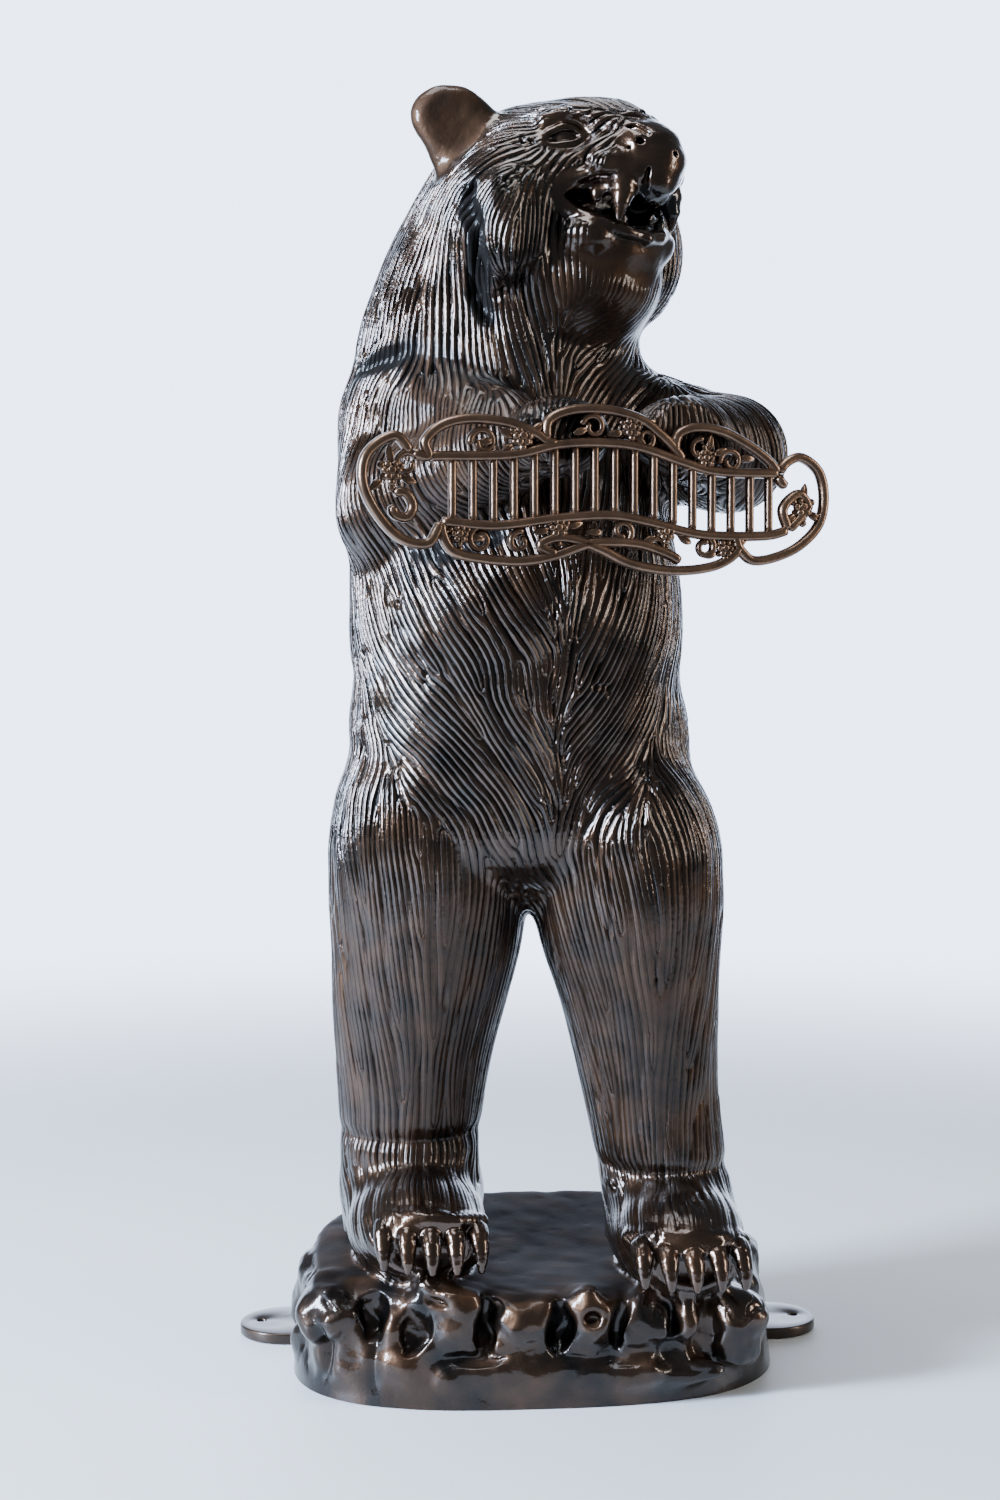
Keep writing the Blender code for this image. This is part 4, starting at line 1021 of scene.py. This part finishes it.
def keepNormals(mesh):
    # Smooth shading: outside a cut each point keeps the normal that it had before.
    mesh.polygons.foreach_set("use_smooth", np.ones(len(mesh.polygons), bool))
    facing = readOut(mesh.polygons, "normal", 3)
    heights = readOut(mesh.polygons, "center", 3)[:, 2]
    atEnd = (heights < heights.min() + 1e-6) | (heights > heights.max() - 1e-6)
    flat = (np.abs(facing[:, 2]) > 0.9999) & atEnd
    sides = readOut(mesh.polygons, "loop_total", 1, np.int32)[:, 0]
    corner = readOut(mesh.loops, "vertex_index", 1, np.int32)[:, 0]
    normals = readOut(mesh.attributes["own"].data, "vector", 3)[corner]
    normals = np.where(np.repeat(flat, sides)[:, None], np.repeat(facing, sides, axis=0), normals)
    normals /= np.linalg.norm(normals, axis=1)[:, None] + 1e-9
    mesh.normals_split_custom_set([tuple(v) for v in normals.tolist()])
    mesh.attributes.remove(mesh.attributes["own"])


# The plaque: strokes carried along paths, with berries, leaves and plain bars
plaque = {
    "width": 318,
    "height": 102,
    "thickness": 9,
    "gap": 0.3,
    "seatReach": (0.55, 0.8),  # the paws are flat behind this share of its width and height
    "lift": 0.2,  # of the strokes' backs off the plaque's back
    "barSpan": (-100, 118),
    "bars": 17,
    "barSize": (5.2, 7),  # width and thickness of a bar
    "strokeSize": (6.6, 8.6),
    "upperRail": ((-116, 17), (-62, 19.5), (-30, 27), (0, 29), (26, 27), (56, 18.5), (81, 13), (125, 13)),
    "lowerRail": (
        (-108, -23), (-72, -25), (-30, -19.5), (6, -17), (32, -20.5), (69, -28), (113, -28), (132, -24),
    ),
    "scrolls": (
        ((-127, 19), (-138, 29), (-155, 18), (-158, 0), (-149, -19), (-134, -34), (-117, -37), (-110, -28),
         (-108, -23)),
        ((-139, -6), (-131, -6), (-126, -14), (-130, -21), (-138, -19), (-139, -13)),
        ((-127, 19), (-116, 17), (-118, 26), (-108, 36), (-90, 41), (-66, 40), (-46, 34), (-38, 29),
         (-30, 27)),
        ((-38, 29), (-36, 42), (-20, 49), (4, 50), (26, 45), (40, 36), (52, 25), (56, 18.5)),
        ((50, 24), (53, 36), (66, 41), (84, 39), (102, 31), (116, 22), (125, 13)),
        ((125, 13), (130, 20), (141, 24), (154, 15), (158, -2), (154, -20), (140, -34), (122, -42),
         (106, -44), (97, -37), (93, -31)),
        ((131, 4), (126, 8), (125, 13)),
        ((132, -24), (128, -10), (139, 0), (146, -8), (140, -16), (132, -24)),
        ((-108, -23), (-106, -33), (-99, -42), (-80, -46), (-54, -47), (-32, -43), (-12, -36), (4, -34),
         (26, -35), (46, -41), (55, -46)),
        ((-30, -43), (-42, -37), (-32, -32), (-18, -33), (0, -39), (18, -47), (40, -51), (62, -51),
         (82, -47), (95, -38), (93, -28)),
    ),
    "curls": (  # middle, radius, first angle and turn in degrees
        (-80, 27, 9, 200, -330), (-6, 39, 8, 180, -330), (90, 20, 8, 200, -330), (68, 27, 7, 60, 300),
        (-82, -34, 8, 90, 330), (14, -27, 7, -60, 300), (72, -36, 7, 90, -330), (-56, -35, 7, 60, 300),
        (-130, 12, 8, 20, 300), (30, 33, 7, 200, 300), (38, -36, 6, 200, -300),
    ),
    "curlSize": (4.6, 7.4),
    "curlTaper": (1, 1, 0.8, 0.95),
    "curlTurns": 1.25,
    "curlShrink": 0.62,  # how much smaller the radius is at the inner end
    "clusters": (
        (-54, 30, 3.4), (20, 38, 3.2), (72, 20, 3), (-30, -27, 3.2), (44, -28, 3), (86, -38, 3),
        (142, -10, 3.4), (-140, 6, 3.4), (-96, -32, 3),
    ),
    "berries": (
        (-2.6, 1.9, -0.4), (-0.9, 2.2, 0), (0.9, 2.2, 0), (2.6, 1.9, -0.4), (-1.8, 0.6, 0.2), (0, 0.7, 0.7),
        (1.8, 0.6, 0.2), (-0.9, -0.9, 0.4), (0.9, -0.9, 0.4), (0, -2.3, 0.1), (-1.9, -0.9, -0.5),
        (1.9, -0.9, -0.5), (0.2, -3.7, -0.5),
    ),
    "berryPitch": (0.72, 0.72, 0.7),
    "berrySize": 0.82,
    "berryLevel": -3.2,  # below the plaque's front
    "leafLevel": -3.6,
    "leaves": (  # where the stalk is, and which way the leaf points
        (-60, 30, 150), (-48, 34, 35), (-60, 26, 215), (26, 42, 10), (14, 36, 190), (22, 34, -40),
        (78, 24, 20), (66, 18, 200), (74, 26, 80), (-24, -25, 15), (-36, -27, 190), (50, -27, 0),
        (38, -30, 200), (92, -36, 30), (80, -40, 190), (-90, -32, -10), (-102, -31, 170), (142, -4, 80),
        (146, -12, -30), (137, -13, 220), (-140, 12, 100), (-134, 4, -20), (-146, 2, 220), (-20, 34, 20),
        (-84, 26, 10), (96, 22, 0), (62, -34, 150), (0, -28, 180),
    ),
    "leafSize": (11.5, 5.6, 5.2),
    "pathStep": 1.6,
    "sides": 14,
    "squareness": 0.85,
}


def plaqueFrame():
    # Middle, and rows: along the plaque, up it, out of its front.
    a = math.radians(figure["plaqueTurn"])
    axes = np.array([[math.cos(a), math.sin(a), 0.0], [0.0, 0.0, 1.0], [math.sin(a), -math.cos(a), 0.0]])
    return np.array(figure["plaqueMiddle"]), axes


def seatDistance(p):
    # Box in front of the plaque's back face.
    middle, axes = plaqueFrame()
    q = (p - middle) @ axes.T
    half = (plaque["seatReach"][0] * plaque["width"], plaque["seatReach"][1] * plaque["height"])
    sides = np.maximum(np.abs(q[:, 0]) - half[0], np.abs(q[:, 1]) - half[1])
    return np.maximum(sides, -q[:, 2] - plaque["thickness"] - plaque["gap"])


def smoothPath(points):
    # Catmull-Rom curve through the points, cut into even steps.
    p = np.array(points, float)
    p = np.vstack([2 * p[0] - p[1], p, 2 * p[-1] - p[-2]])
    t = np.linspace(0.0, 1.0, 24, endpoint=False)[:, None]
    runs = []
    for a, b, c, d in zip(p, p[1:], p[2:], p[3:]):
        square, cube = 2 * a - 5 * b + 4 * c - d, 3 * b - a - 3 * c + d
        runs.append(0.5 * (2 * b + (c - a) * t + square * t ** 2 + cube * t ** 3))
    run = np.vstack(runs + [p[-2][None]])
    far = travelled(run)
    at = np.linspace(0.0, far[-1], max(3, int(far[-1] / plaque["pathStep"])))
    return np.stack([np.interp(at, far, run[:, k]) for k in range(2)], 1)


def travelled(path):
    # The way gone along a path at each of its points.
    return np.concatenate([[0.0], np.cumsum(np.linalg.norm(np.diff(path, axis=0), axis=1))])


def around(count):
    return 2.0 * math.pi * np.arange(count) / count


def gridFaces(rows, columns):
    # Quads between neighbours in a grid that closes round its columns.
    i, j = np.meshgrid(np.arange(rows - 1), np.arange(columns), indexing="ij")
    here, there = i * columns + j, i * columns + (j + 1) % columns
    return np.stack([here, there, there + columns, here + columns], -1).reshape(-1, 4)


def closedEnds(points, columns):
    # The faces of a tube of rings, with a point at the middle of the first and last ring and
    # a fan of narrow quads to each.
    points = points.reshape(-1, 3)
    faces = gridFaces(len(points) // columns, columns)
    poles = np.stack([points[:columns].mean(0), points[-columns:].mean(0)])
    j = np.arange(0, columns, 2)
    n = len(points)
    last = n - columns
    start = np.stack([np.full(len(j), n), (j + 2) % columns, (j + 1) % columns, j], 1)
    stop = np.stack([np.full(len(j), n + 1), last + j, last + (j + 1) % columns, last + (j + 2) % columns], 1)
    return np.vstack([points, poles]), np.vstack([faces, start, stop])


def stroke(path, width, depth, taper=(1.0, 1.0)):
    # A rounded section carried along a path in the plaque's plane: the rings stand square to
    # the path, and shrink to a point within half a width of either end.
    path = np.asarray(path)
    way = np.gradient(path, axis=0)
    way /= np.linalg.norm(way, axis=1)[:, None] + 1e-9
    far = travelled(path)
    end = np.minimum(far, far[-1] - far)
    size = np.maximum(np.sqrt(1.0 - np.clip(1.0 - end / (0.5 * width), 0.0, 1.0) ** 2), 0.02)
    size = size * np.interp(far / far[-1], np.linspace(0, 1, len(taper)), taper)
    a = around(plaque["sides"])
    across, out = (np.sign(part) * np.abs(part) ** plaque["squareness"] * 0.5 * reach
                   for part, reach in ((np.cos(a), width), (np.sin(a), depth)))
    side = np.stack([way[:, 1], -way[:, 0]], 1)
    flat = path[:, None, :] + size[:, None, None] * across[None, :, None] * side[:, None, :]
    z = plaque["lift"] - plaque["thickness"] + 0.5 * depth + size[:, None] * out[None, :]
    return closedEnds(np.concatenate([flat, z[..., None]], -1), len(a))


def berry(place, radius, rows=7, columns=10):
    # Sphere: rings by height angle, and points round each ring.
    v = np.linspace(-0.5 * math.pi + 0.2, 0.5 * math.pi - 0.2, rows)[:, None]
    u = around(columns)
    points = np.stack([np.cos(v) * np.cos(u), np.cos(v) * np.sin(u), np.sin(v) + 0 * u], -1)
    points, faces = closedEnds(points, columns)
    points[-2:] = ((0, 0, -1), (0, 0, 1))
    return points * radius + np.array(place), faces


def leaf(place, degrees, rows=15, columns=16):
    # Almond: across, half the width times sin(pi u^0.8)^0.8 at the share u of the length; out
    # of the plaque, half the thickness less a groove along the midrib.
    length, width, thick = plaque["leafSize"]
    u = np.linspace(0.02, 0.98, rows)[:, None]
    a = around(columns)
    half = 0.5 * width * np.sin(math.pi * u ** 0.8) ** 0.8
    across = half * np.cos(a)
    rib = np.exp(-(across / (0.16 * width)) ** 2)
    out = 0.5 * thick * np.sin(a) * (half / (0.5 * width)) ** 0.5 * (1.0 - 0.5 * rib * (np.sin(a) > 0))
    x, y = turned(u * length + 0.0 * across, across, degrees)
    return closedEnds(np.stack([x, y, out], -1) + np.array(place), columns)


def plaqueShapes():
    paths = (plaque["upperRail"], plaque["lowerRail"], *plaque["scrolls"])
    shapes = [stroke(smoothPath(path), *plaque["strokeSize"]) for path in paths]
    t = np.linspace(0.0, 1.0, 34)
    for x, y, radius, first, sweep in plaque["curls"]:
        a = np.radians(first + plaque["curlTurns"] * sweep * t)
        r = radius * (1.0 - plaque["curlShrink"] * t)
        path = np.stack([x + r * np.cos(a), y + r * np.sin(a)], 1)
        shapes.append(stroke(path, *plaque["curlSize"], plaque["curlTaper"]))
    upper, lower = (np.array(plaque[rail], float).T for rail in ("upperRail", "lowerRail"))
    for x in np.linspace(*plaque["barSpan"], plaque["bars"]):
        y = np.linspace(np.interp(x, *lower), np.interp(x, *upper), 16)
        shapes.append(stroke(np.stack([np.full(16, x), y], 1), *plaque["barSize"]))
    for x, y, radius in plaque["clusters"]:
        for offset in plaque["berries"]:
            place = (x, y, plaque["berryLevel"]) + np.multiply(plaque["berryPitch"], offset) * radius
            shapes.append(berry(place, plaque["berrySize"] * radius))
    level = plaque["leafLevel"]
    return shapes + [leaf((x, y, level), degrees) for x, y, degrees in plaque["leaves"]]


def plaquePiece():
    points, faces, first = [], [], 0
    for p, f in plaqueShapes():
        points.append(p)
        faces.append(f + first)
        first += len(p)
    middle, axes = plaqueFrame()
    p = np.vstack(points)
    p[:, 2] = np.minimum(p[:, 2], -0.1)
    return placed("plaque", meshOf("plaque", (middle + p @ axes) * unit, np.vstack(faces)))


# The fixing plates: a tongue with a round end, whose section runs from the hole out and back
plate = {
    "width": 70.0, "reach": 50.0, "root": 16.0, "thickness": 8.0, "hole": 7.0, "holeInset": 16.0,
    "inset": 74.0, "edge": 1.6, "holeEdge": 0.6, "around": 96,
}


def platePiece(name, side):
    # Each point round the hole is joined to the point of the outline at the same angle, and the
    # section between them is a rounded oblong; both ways round, the surface closes on itself.
    half, middle = 0.5 * plate["width"], plate["reach"] - plate["holeInset"]
    a = around(plate["around"])
    ux, uy = np.cos(a), np.sin(a)
    dx = middle - (plate["reach"] - half)
    arc = -dx * ux + np.sqrt(np.maximum(half ** 2 - (dx * uy) ** 2, 0.0))
    straight = half / np.maximum(np.abs(uy), 1e-6)
    backwards = np.where(ux < 0, (middle + plate["root"]) / np.maximum(-ux, 1e-6), 1e9)
    out = np.where(dx + arc * ux > 0, arc, np.minimum(straight, backwards))
    e, t, rim = plate["edge"], plate["thickness"], plate["holeEdge"]
    bend = np.radians([0, 30, 60, 90])
    section = [(rim, 0.0), (0.0, rim), (0.0, t - rim), (rim, t)]
    section += [(-e + e * math.sin(b), t - e + e * math.cos(b)) for b in bend]
    section += [(-e + e * math.cos(b), e - e * math.sin(b)) for b in bend]
    shift, z = np.array(section).T
    radius = shift + np.where(np.arange(len(section)) < 4, 0.5 * plate["hole"], out[:, None])
    x = middle + radius * ux[:, None]
    y = radius * uy[:, None]
    points = np.stack([side * x, side * y, np.broadcast_to(z, x.shape)], -1).reshape(-1, 3)
    at = 0.5 * rock["depth"] - plate["inset"]
    share = (1.0 - abs(2.0 * at / rock["depth"]) ** rock["power"]) ** (1.0 / rock["power"])
    points += (side * 0.5 * rock["width"] * share, rock["setBack"] + at, 0.0)
    faces = gridFaces(len(a) + 1, len(section)) % len(points)
    return placed(name, meshOf(name, points * unit, faces))


# Materials
def linear(code):
    # An sRGB colour as six hex digits, turned linear.
    values = [int(code[k:k + 2], 16) / 255 for k in (0, 2, 4)]
    return tuple(v / 12.92 if v <= 0.04045 else ((v + 0.055) / 1.055) ** 2.4 for v in values) + (1.0,)


def fill(tree, node, settings):
    # Links from sockets, values of inputs and options of a node, by name or number.
    for key, value in settings.items():
        if isinstance(value, bpy.types.NodeSocket):
            tree.links.new(value, node.inputs[key])
        elif isinstance(key, int) or key in node.inputs:
            node.inputs[key].default_value = value
        else:
            setattr(node, key, value)


def addNode(tree, kind, *given, output=0, sockets=(), **settings):
    # A node by its kind and operation, with links, values and options given in order, by name
    # or by number. One of its outputs is given back.
    kind, _, operation = kind.partition(" ")
    node = tree.nodes.new("ShaderNode" + kind)
    if operation:
        node.operation = operation
    fill(tree, node, {**settings, **dict(enumerate(given)), **dict(sockets)})
    return node.outputs[output]


def newMaterial(name):
    material = bpy.data.materials.new(name)
    material.use_nodes = True
    tree = material.node_tree
    return material, tree, tree.nodes["Principled BSDF"], addNode(tree, "TexCoord", output="Object")


bronze = {
    "dark": "0e0c0b",
    "copper": "533a27",
    "roughness": (0.27, 0.75),  # where it shines, and where it is dull
    "lacquer": 0.95,
    "lacquerRoughness": 0.07,
    "metal": 0.9,
    "grooveDepth": 0.7,  # in millimetres
    "grooveShade": 0.85,  # painted shade: how much of the lacquer's light is taken out in a groove
    "hair": 0.2,  # height of the fine hairs on a strand, as a share of the strand's
    "grain": (0.18, 420.0),  # height and fineness
    "patches": 45.0,  # fineness of the blotches in the copper
}


def castBronze():
    # Cast aluminium in a near-black bronze finish, rubbed to copper on the ridges and lacquered:
    # dark in the grooves, from the finish and from painted shade that also takes the lacquer's light
    # out there, brown on top, with sharp white lights from the lacquer. The strands are |sin| of the
    # comb's angle, so that their grooves stay crisp between the mesh's points.
    material, tree, shader, place = newMaterial("lacquered_cast_bronze")
    rubAndShade, furry, combX, combY, dull = (
        addNode(tree, "Attribute", output="Fac", attribute_name=name)
        for name in ("rubAndShade", "fur", "combX", "combY", "dull"))
    angle = addNode(tree, "Math ARCTAN2", combY, combX)
    wave = addNode(tree, "Math SINE", angle)
    folded = addNode(tree, "Math ABSOLUTE", wave)
    ridge = addNode(tree, "Math POWER", folded, 0.5)
    thirds = addNode(tree, "Math MULTIPLY", angle, 3.0)
    fineWave = addNode(tree, "Math SINE", thirds)
    hair = addNode(tree, "Math ABSOLUTE", fineWave)
    carved = addNode(tree, "Math MULTIPLY", ridge, furry)
    groove = addNode(tree, "Math SUBTRACT", furry, carved)
    blotch = addNode(tree, "TexNoise", place, Scale=bronze["patches"], Detail=4.0)
    worn = addNode(tree, "MapRange", blotch, 0.3, 0.7, 0.55)
    amount = addNode(tree, "Math MULTIPLY", rubAndShade, worn)
    # Painted shade: the colour darkens in the grooves, on top of the dark finish left in them.
    copperLessGrooveShade = addNode(tree, "Math MULTIPLY_ADD", groove, -0.5, amount)
    shift = addNode(tree, "MapRange", copperLessGrooveShade, 0.2, 0.95)
    colours = {6: linear(bronze["dark"]), 7: linear(bronze["copper"])}
    tint = addNode(tree, "Mix", shift, output=2, data_type="RGBA", sockets=colours)
    shiny, matt = bronze["roughness"]
    rough = addNode(tree, "MapRange", dull, 0.0, 1.0, shiny, matt)
    lacquer = addNode(tree, "MapRange", dull, 0.0, 1.0, bronze["lacquer"], 0.0)
    # Painted shade: the lacquer's light is taken out in the grooves.
    clear = addNode(tree, "Math MULTIPLY_ADD", groove, -bronze["grooveShade"], 1.0)
    coat = addNode(tree, "Math MULTIPLY", lacquer, clear, use_clamp=True)
    high, fineness = bronze["grain"]
    grain = addNode(tree, "TexNoise", place, Scale=fineness, Detail=3.0)
    strandy = addNode(tree, "Math MULTIPLY_ADD", hair, bronze["hair"], ridge)
    carve = addNode(tree, "Math MULTIPLY", strandy, furry)
    deep = addNode(tree, "Math MULTIPLY", carve, bronze["grooveDepth"])
    height = addNode(tree, "Math MULTIPLY_ADD", grain, high, deep)
    bump = addNode(tree, "Bump", Strength=1.0, Distance=0.001, Height=height)
    fill(tree, shader, {
        "Base Color": tint, "Metallic": bronze["metal"], "Roughness": rough, "Coat Weight": coat,
        "Coat Roughness": bronze["lacquerRoughness"], "Normal": bump, "Coat Normal": bump})
    return material


satin = {
    "metal": 0.9,
    "lacquer": 0.5,
    "lacquerRoughness": 0.15,
    "patches": 60.0,
    "grain": (0.4, 500.0),  # height in millimetres, and fineness
    "plaque": ("satin_copper_brown_casting", "372a22", "94735a", 0.32),  # colours and roughness
    "plates": ("satin_dark_brown_casting", "1d1815", "4a392c", 0.45),
}


def satinCasting(name, dark, light, roughness):
    # Cast aluminium in a copper-brown bronze finish, satin: broad soft lights, browner tops.
    material, tree, shader, place = newMaterial(name)
    blotch = addNode(tree, "TexNoise", place, Scale=satin["patches"], Detail=4.0)
    colours = {6: linear(dark), 7: linear(light)}
    tint = addNode(tree, "Mix", blotch, output=2, data_type="RGBA", sockets=colours)
    high, fineness = satin["grain"]
    grain = addNode(tree, "TexNoise", place, Scale=fineness, Detail=3.0)
    bump = addNode(tree, "Bump", Strength=0.5, Distance=0.001 * high, Height=grain)
    fill(tree, shader, {
        "Base Color": tint, "Metallic": satin["metal"], "Roughness": roughness, "Normal": bump,
        "Coat Weight": satin["lacquer"], "Coat Roughness": satin["lacquerRoughness"]})
    return material


# The lengths of the casting: name, from, to, side of a facet, triangles to keep
lengths = (
    ("bear_head", 742.0, 904.0, 1.0, 194000),
    ("bear_chest", 575.0, 742.0, 1.2, 190000),
    ("bear_belly", 385.0, 575.0, 1.2, 190000),
    ("bear_legs", 125.0, 385.0, 1.3, 190000),
    ("bear_base", 0.0, 125.0, 1.3, 120000),
)
grid = combGrid()
report("fur laid out")
bearPieces = []
for name, low, high, spacing, target in lengths:
    bearPieces.append(bearPart(name, low, high, spacing, target))
    bearPieces[-1].data.calc_loop_triangles()
    report(f"{name}: {len(bearPieces[-1].data.loop_triangles)} triangles")
workers.shutdown()
plaqueOb = plaquePiece()
report(f"plaque: {2 * len(plaqueOb.data.polygons)} triangles")
plateLeft, plateRight = platePiece("plate_left", -1), platePiece("plate_right", 1)
report("fixing plates done")
copper, brown = satinCasting(*satin["plaque"]), satinCasting(*satin["plates"])
dressing = (
    (bearPieces, castBronze(), "bear", "dark_bronze"),
    ([plaqueOb], copper, "sign", "copper_brown"),
    ([plateLeft], brown, "lug_left", "dark_bronze"),
    ([plateRight], brown, "lug_right", "dark_bronze"),
)
for pieces, finish, node, slot in dressing:
    for piece in pieces:
        piece.data.materials.append(finish)
        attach(piece, "root")
        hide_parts(node)
report("pieces finished")

# The stage: a pale floor that fades into a pale surround, and soft lights
stage = {
    "size": 8.0,
    "sunk": 0.0004,
    "floor": "c9cccd",
    "floorRoughness": 0.55,
    "sky": "d6e4ff",
    "dim": "303336",
    "skyStrength": 5.2,
    "skyFrom": (0.7, 0.92),  # the room is dim but for a patch behind the statue
    "fade": (0.8, 2.4),  # from this far the floor fades, and it is gone at this far
    "tableEdge": (-0.75, -0.33),  # and it ends softly in front, so that the legs mirror a dim room
    "lights": {  # place, aim, size, power and colour
        "window_left": ((-2.1, -0.95, 1.15), (0, 0, 0.6), (0.5, 1.3), 420, "cfe2ff"),
        "window_right": ((1.9, -0.6, 0.9), (0, 0, 0.5), (0.25, 1.4), 26, "fff6ec"),
        "above": ((-0.4, -0.2, 2.4), (0, 0, 0.4), (1.2, 1.0), 36, "f4f8ff"),
    },
}


def palePaint():
    # Pale and matt, and clear far away and in front: the product of two eased ramps.
    material, tree, shader, place = newMaterial("pale_matt_floor")
    far = addNode(tree, "VectorMath LENGTH", place, output="Value")
    depth = addNode(tree, "SeparateXYZ", place, output="Y")
    ramps = ((far, *stage["fade"], 1.0, 0.0), (depth, *stage["tableEdge"], 0.0, 1.0))
    shares = [addNode(tree, "MapRange", *ramp, interpolation_type="SMOOTHSTEP") for ramp in ramps]
    solid = addNode(tree, "Math MULTIPLY", *shares)
    fill(tree, shader, {
        "Base Color": linear(stage["floor"]), "Roughness": stage["floorRoughness"], "Alpha": solid})
    return material


def paleRoom():
    world = bpy.data.worlds.new("pale_room")
    world.use_nodes = True
    tree = world.node_tree
    way = addNode(tree, "TexCoord", output="Generated")
    depth = addNode(tree, "SeparateXYZ", way, output="Y")
    behind = addNode(tree, "MapRange", depth, *stage["skyFrom"])
    colours = {6: linear(stage["dim"]), 7: linear(stage["sky"])}
    shade = addNode(tree, "Mix", behind, output=2, data_type="RGBA", sockets=colours)
    fill(tree, tree.nodes["Background"], {"Color": shade, "Strength": stage["skyStrength"]})
    return world


def softLight(name, place, aim, size, power, colour):
    light = bpy.data.lights.new(name, "AREA")
    light.shape = "RECTANGLE"
    light.size, light.size_y = size
    light.energy = power
    light.color = linear(colour)[:3]
    ob = placed(name, light)
    ob.location = place
    ob.rotation_euler = (Vector(aim) - Vector(place)).to_track_quat("-Z", "Y").to_euler()


half = 0.5 * stage["size"]
edge = [(x * half, y * half, -stage["sunk"]) for x, y in ((-1, -1), (1, -1), (1, 1), (-1, 1))]
floor = placed("floor", meshOf("floor", np.array(edge), np.arange(4)[None]))
floor.data.materials.append(palePaint())
bpy.context.scene.world = paleRoom()
for name, lamp in stage["lights"].items():
    softLight(name, *lamp)

# Camera: the photographer stood 1.55 m away, a little to the bear's right, at the plaque's height
camera = {
    "distance": 1.55,
    "aside": -3.0,  # degrees to the viewer's left
    "height": 0.504,
    "pitch": -2.3,
    "swing": 0.9,  # degrees that the view is turned left of the statue's middle
    "lens": 52.08,
}
a = math.radians(camera["aside"])
seen = bpy.data.cameras.new("camera")
seen.sensor_fit = "AUTO"
seen.sensor_width = 36.0
seen.lens = camera["lens"]
eye = placed("camera", seen)
eye.location = (camera["distance"] * math.sin(a), -camera["distance"] * math.cos(a), camera["height"])
eye.rotation_euler = (math.radians(90.0 + camera["pitch"]), 0.0, a + math.radians(camera["swing"]))
bpy.context.scene.camera = eye

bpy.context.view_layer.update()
report("stage set")
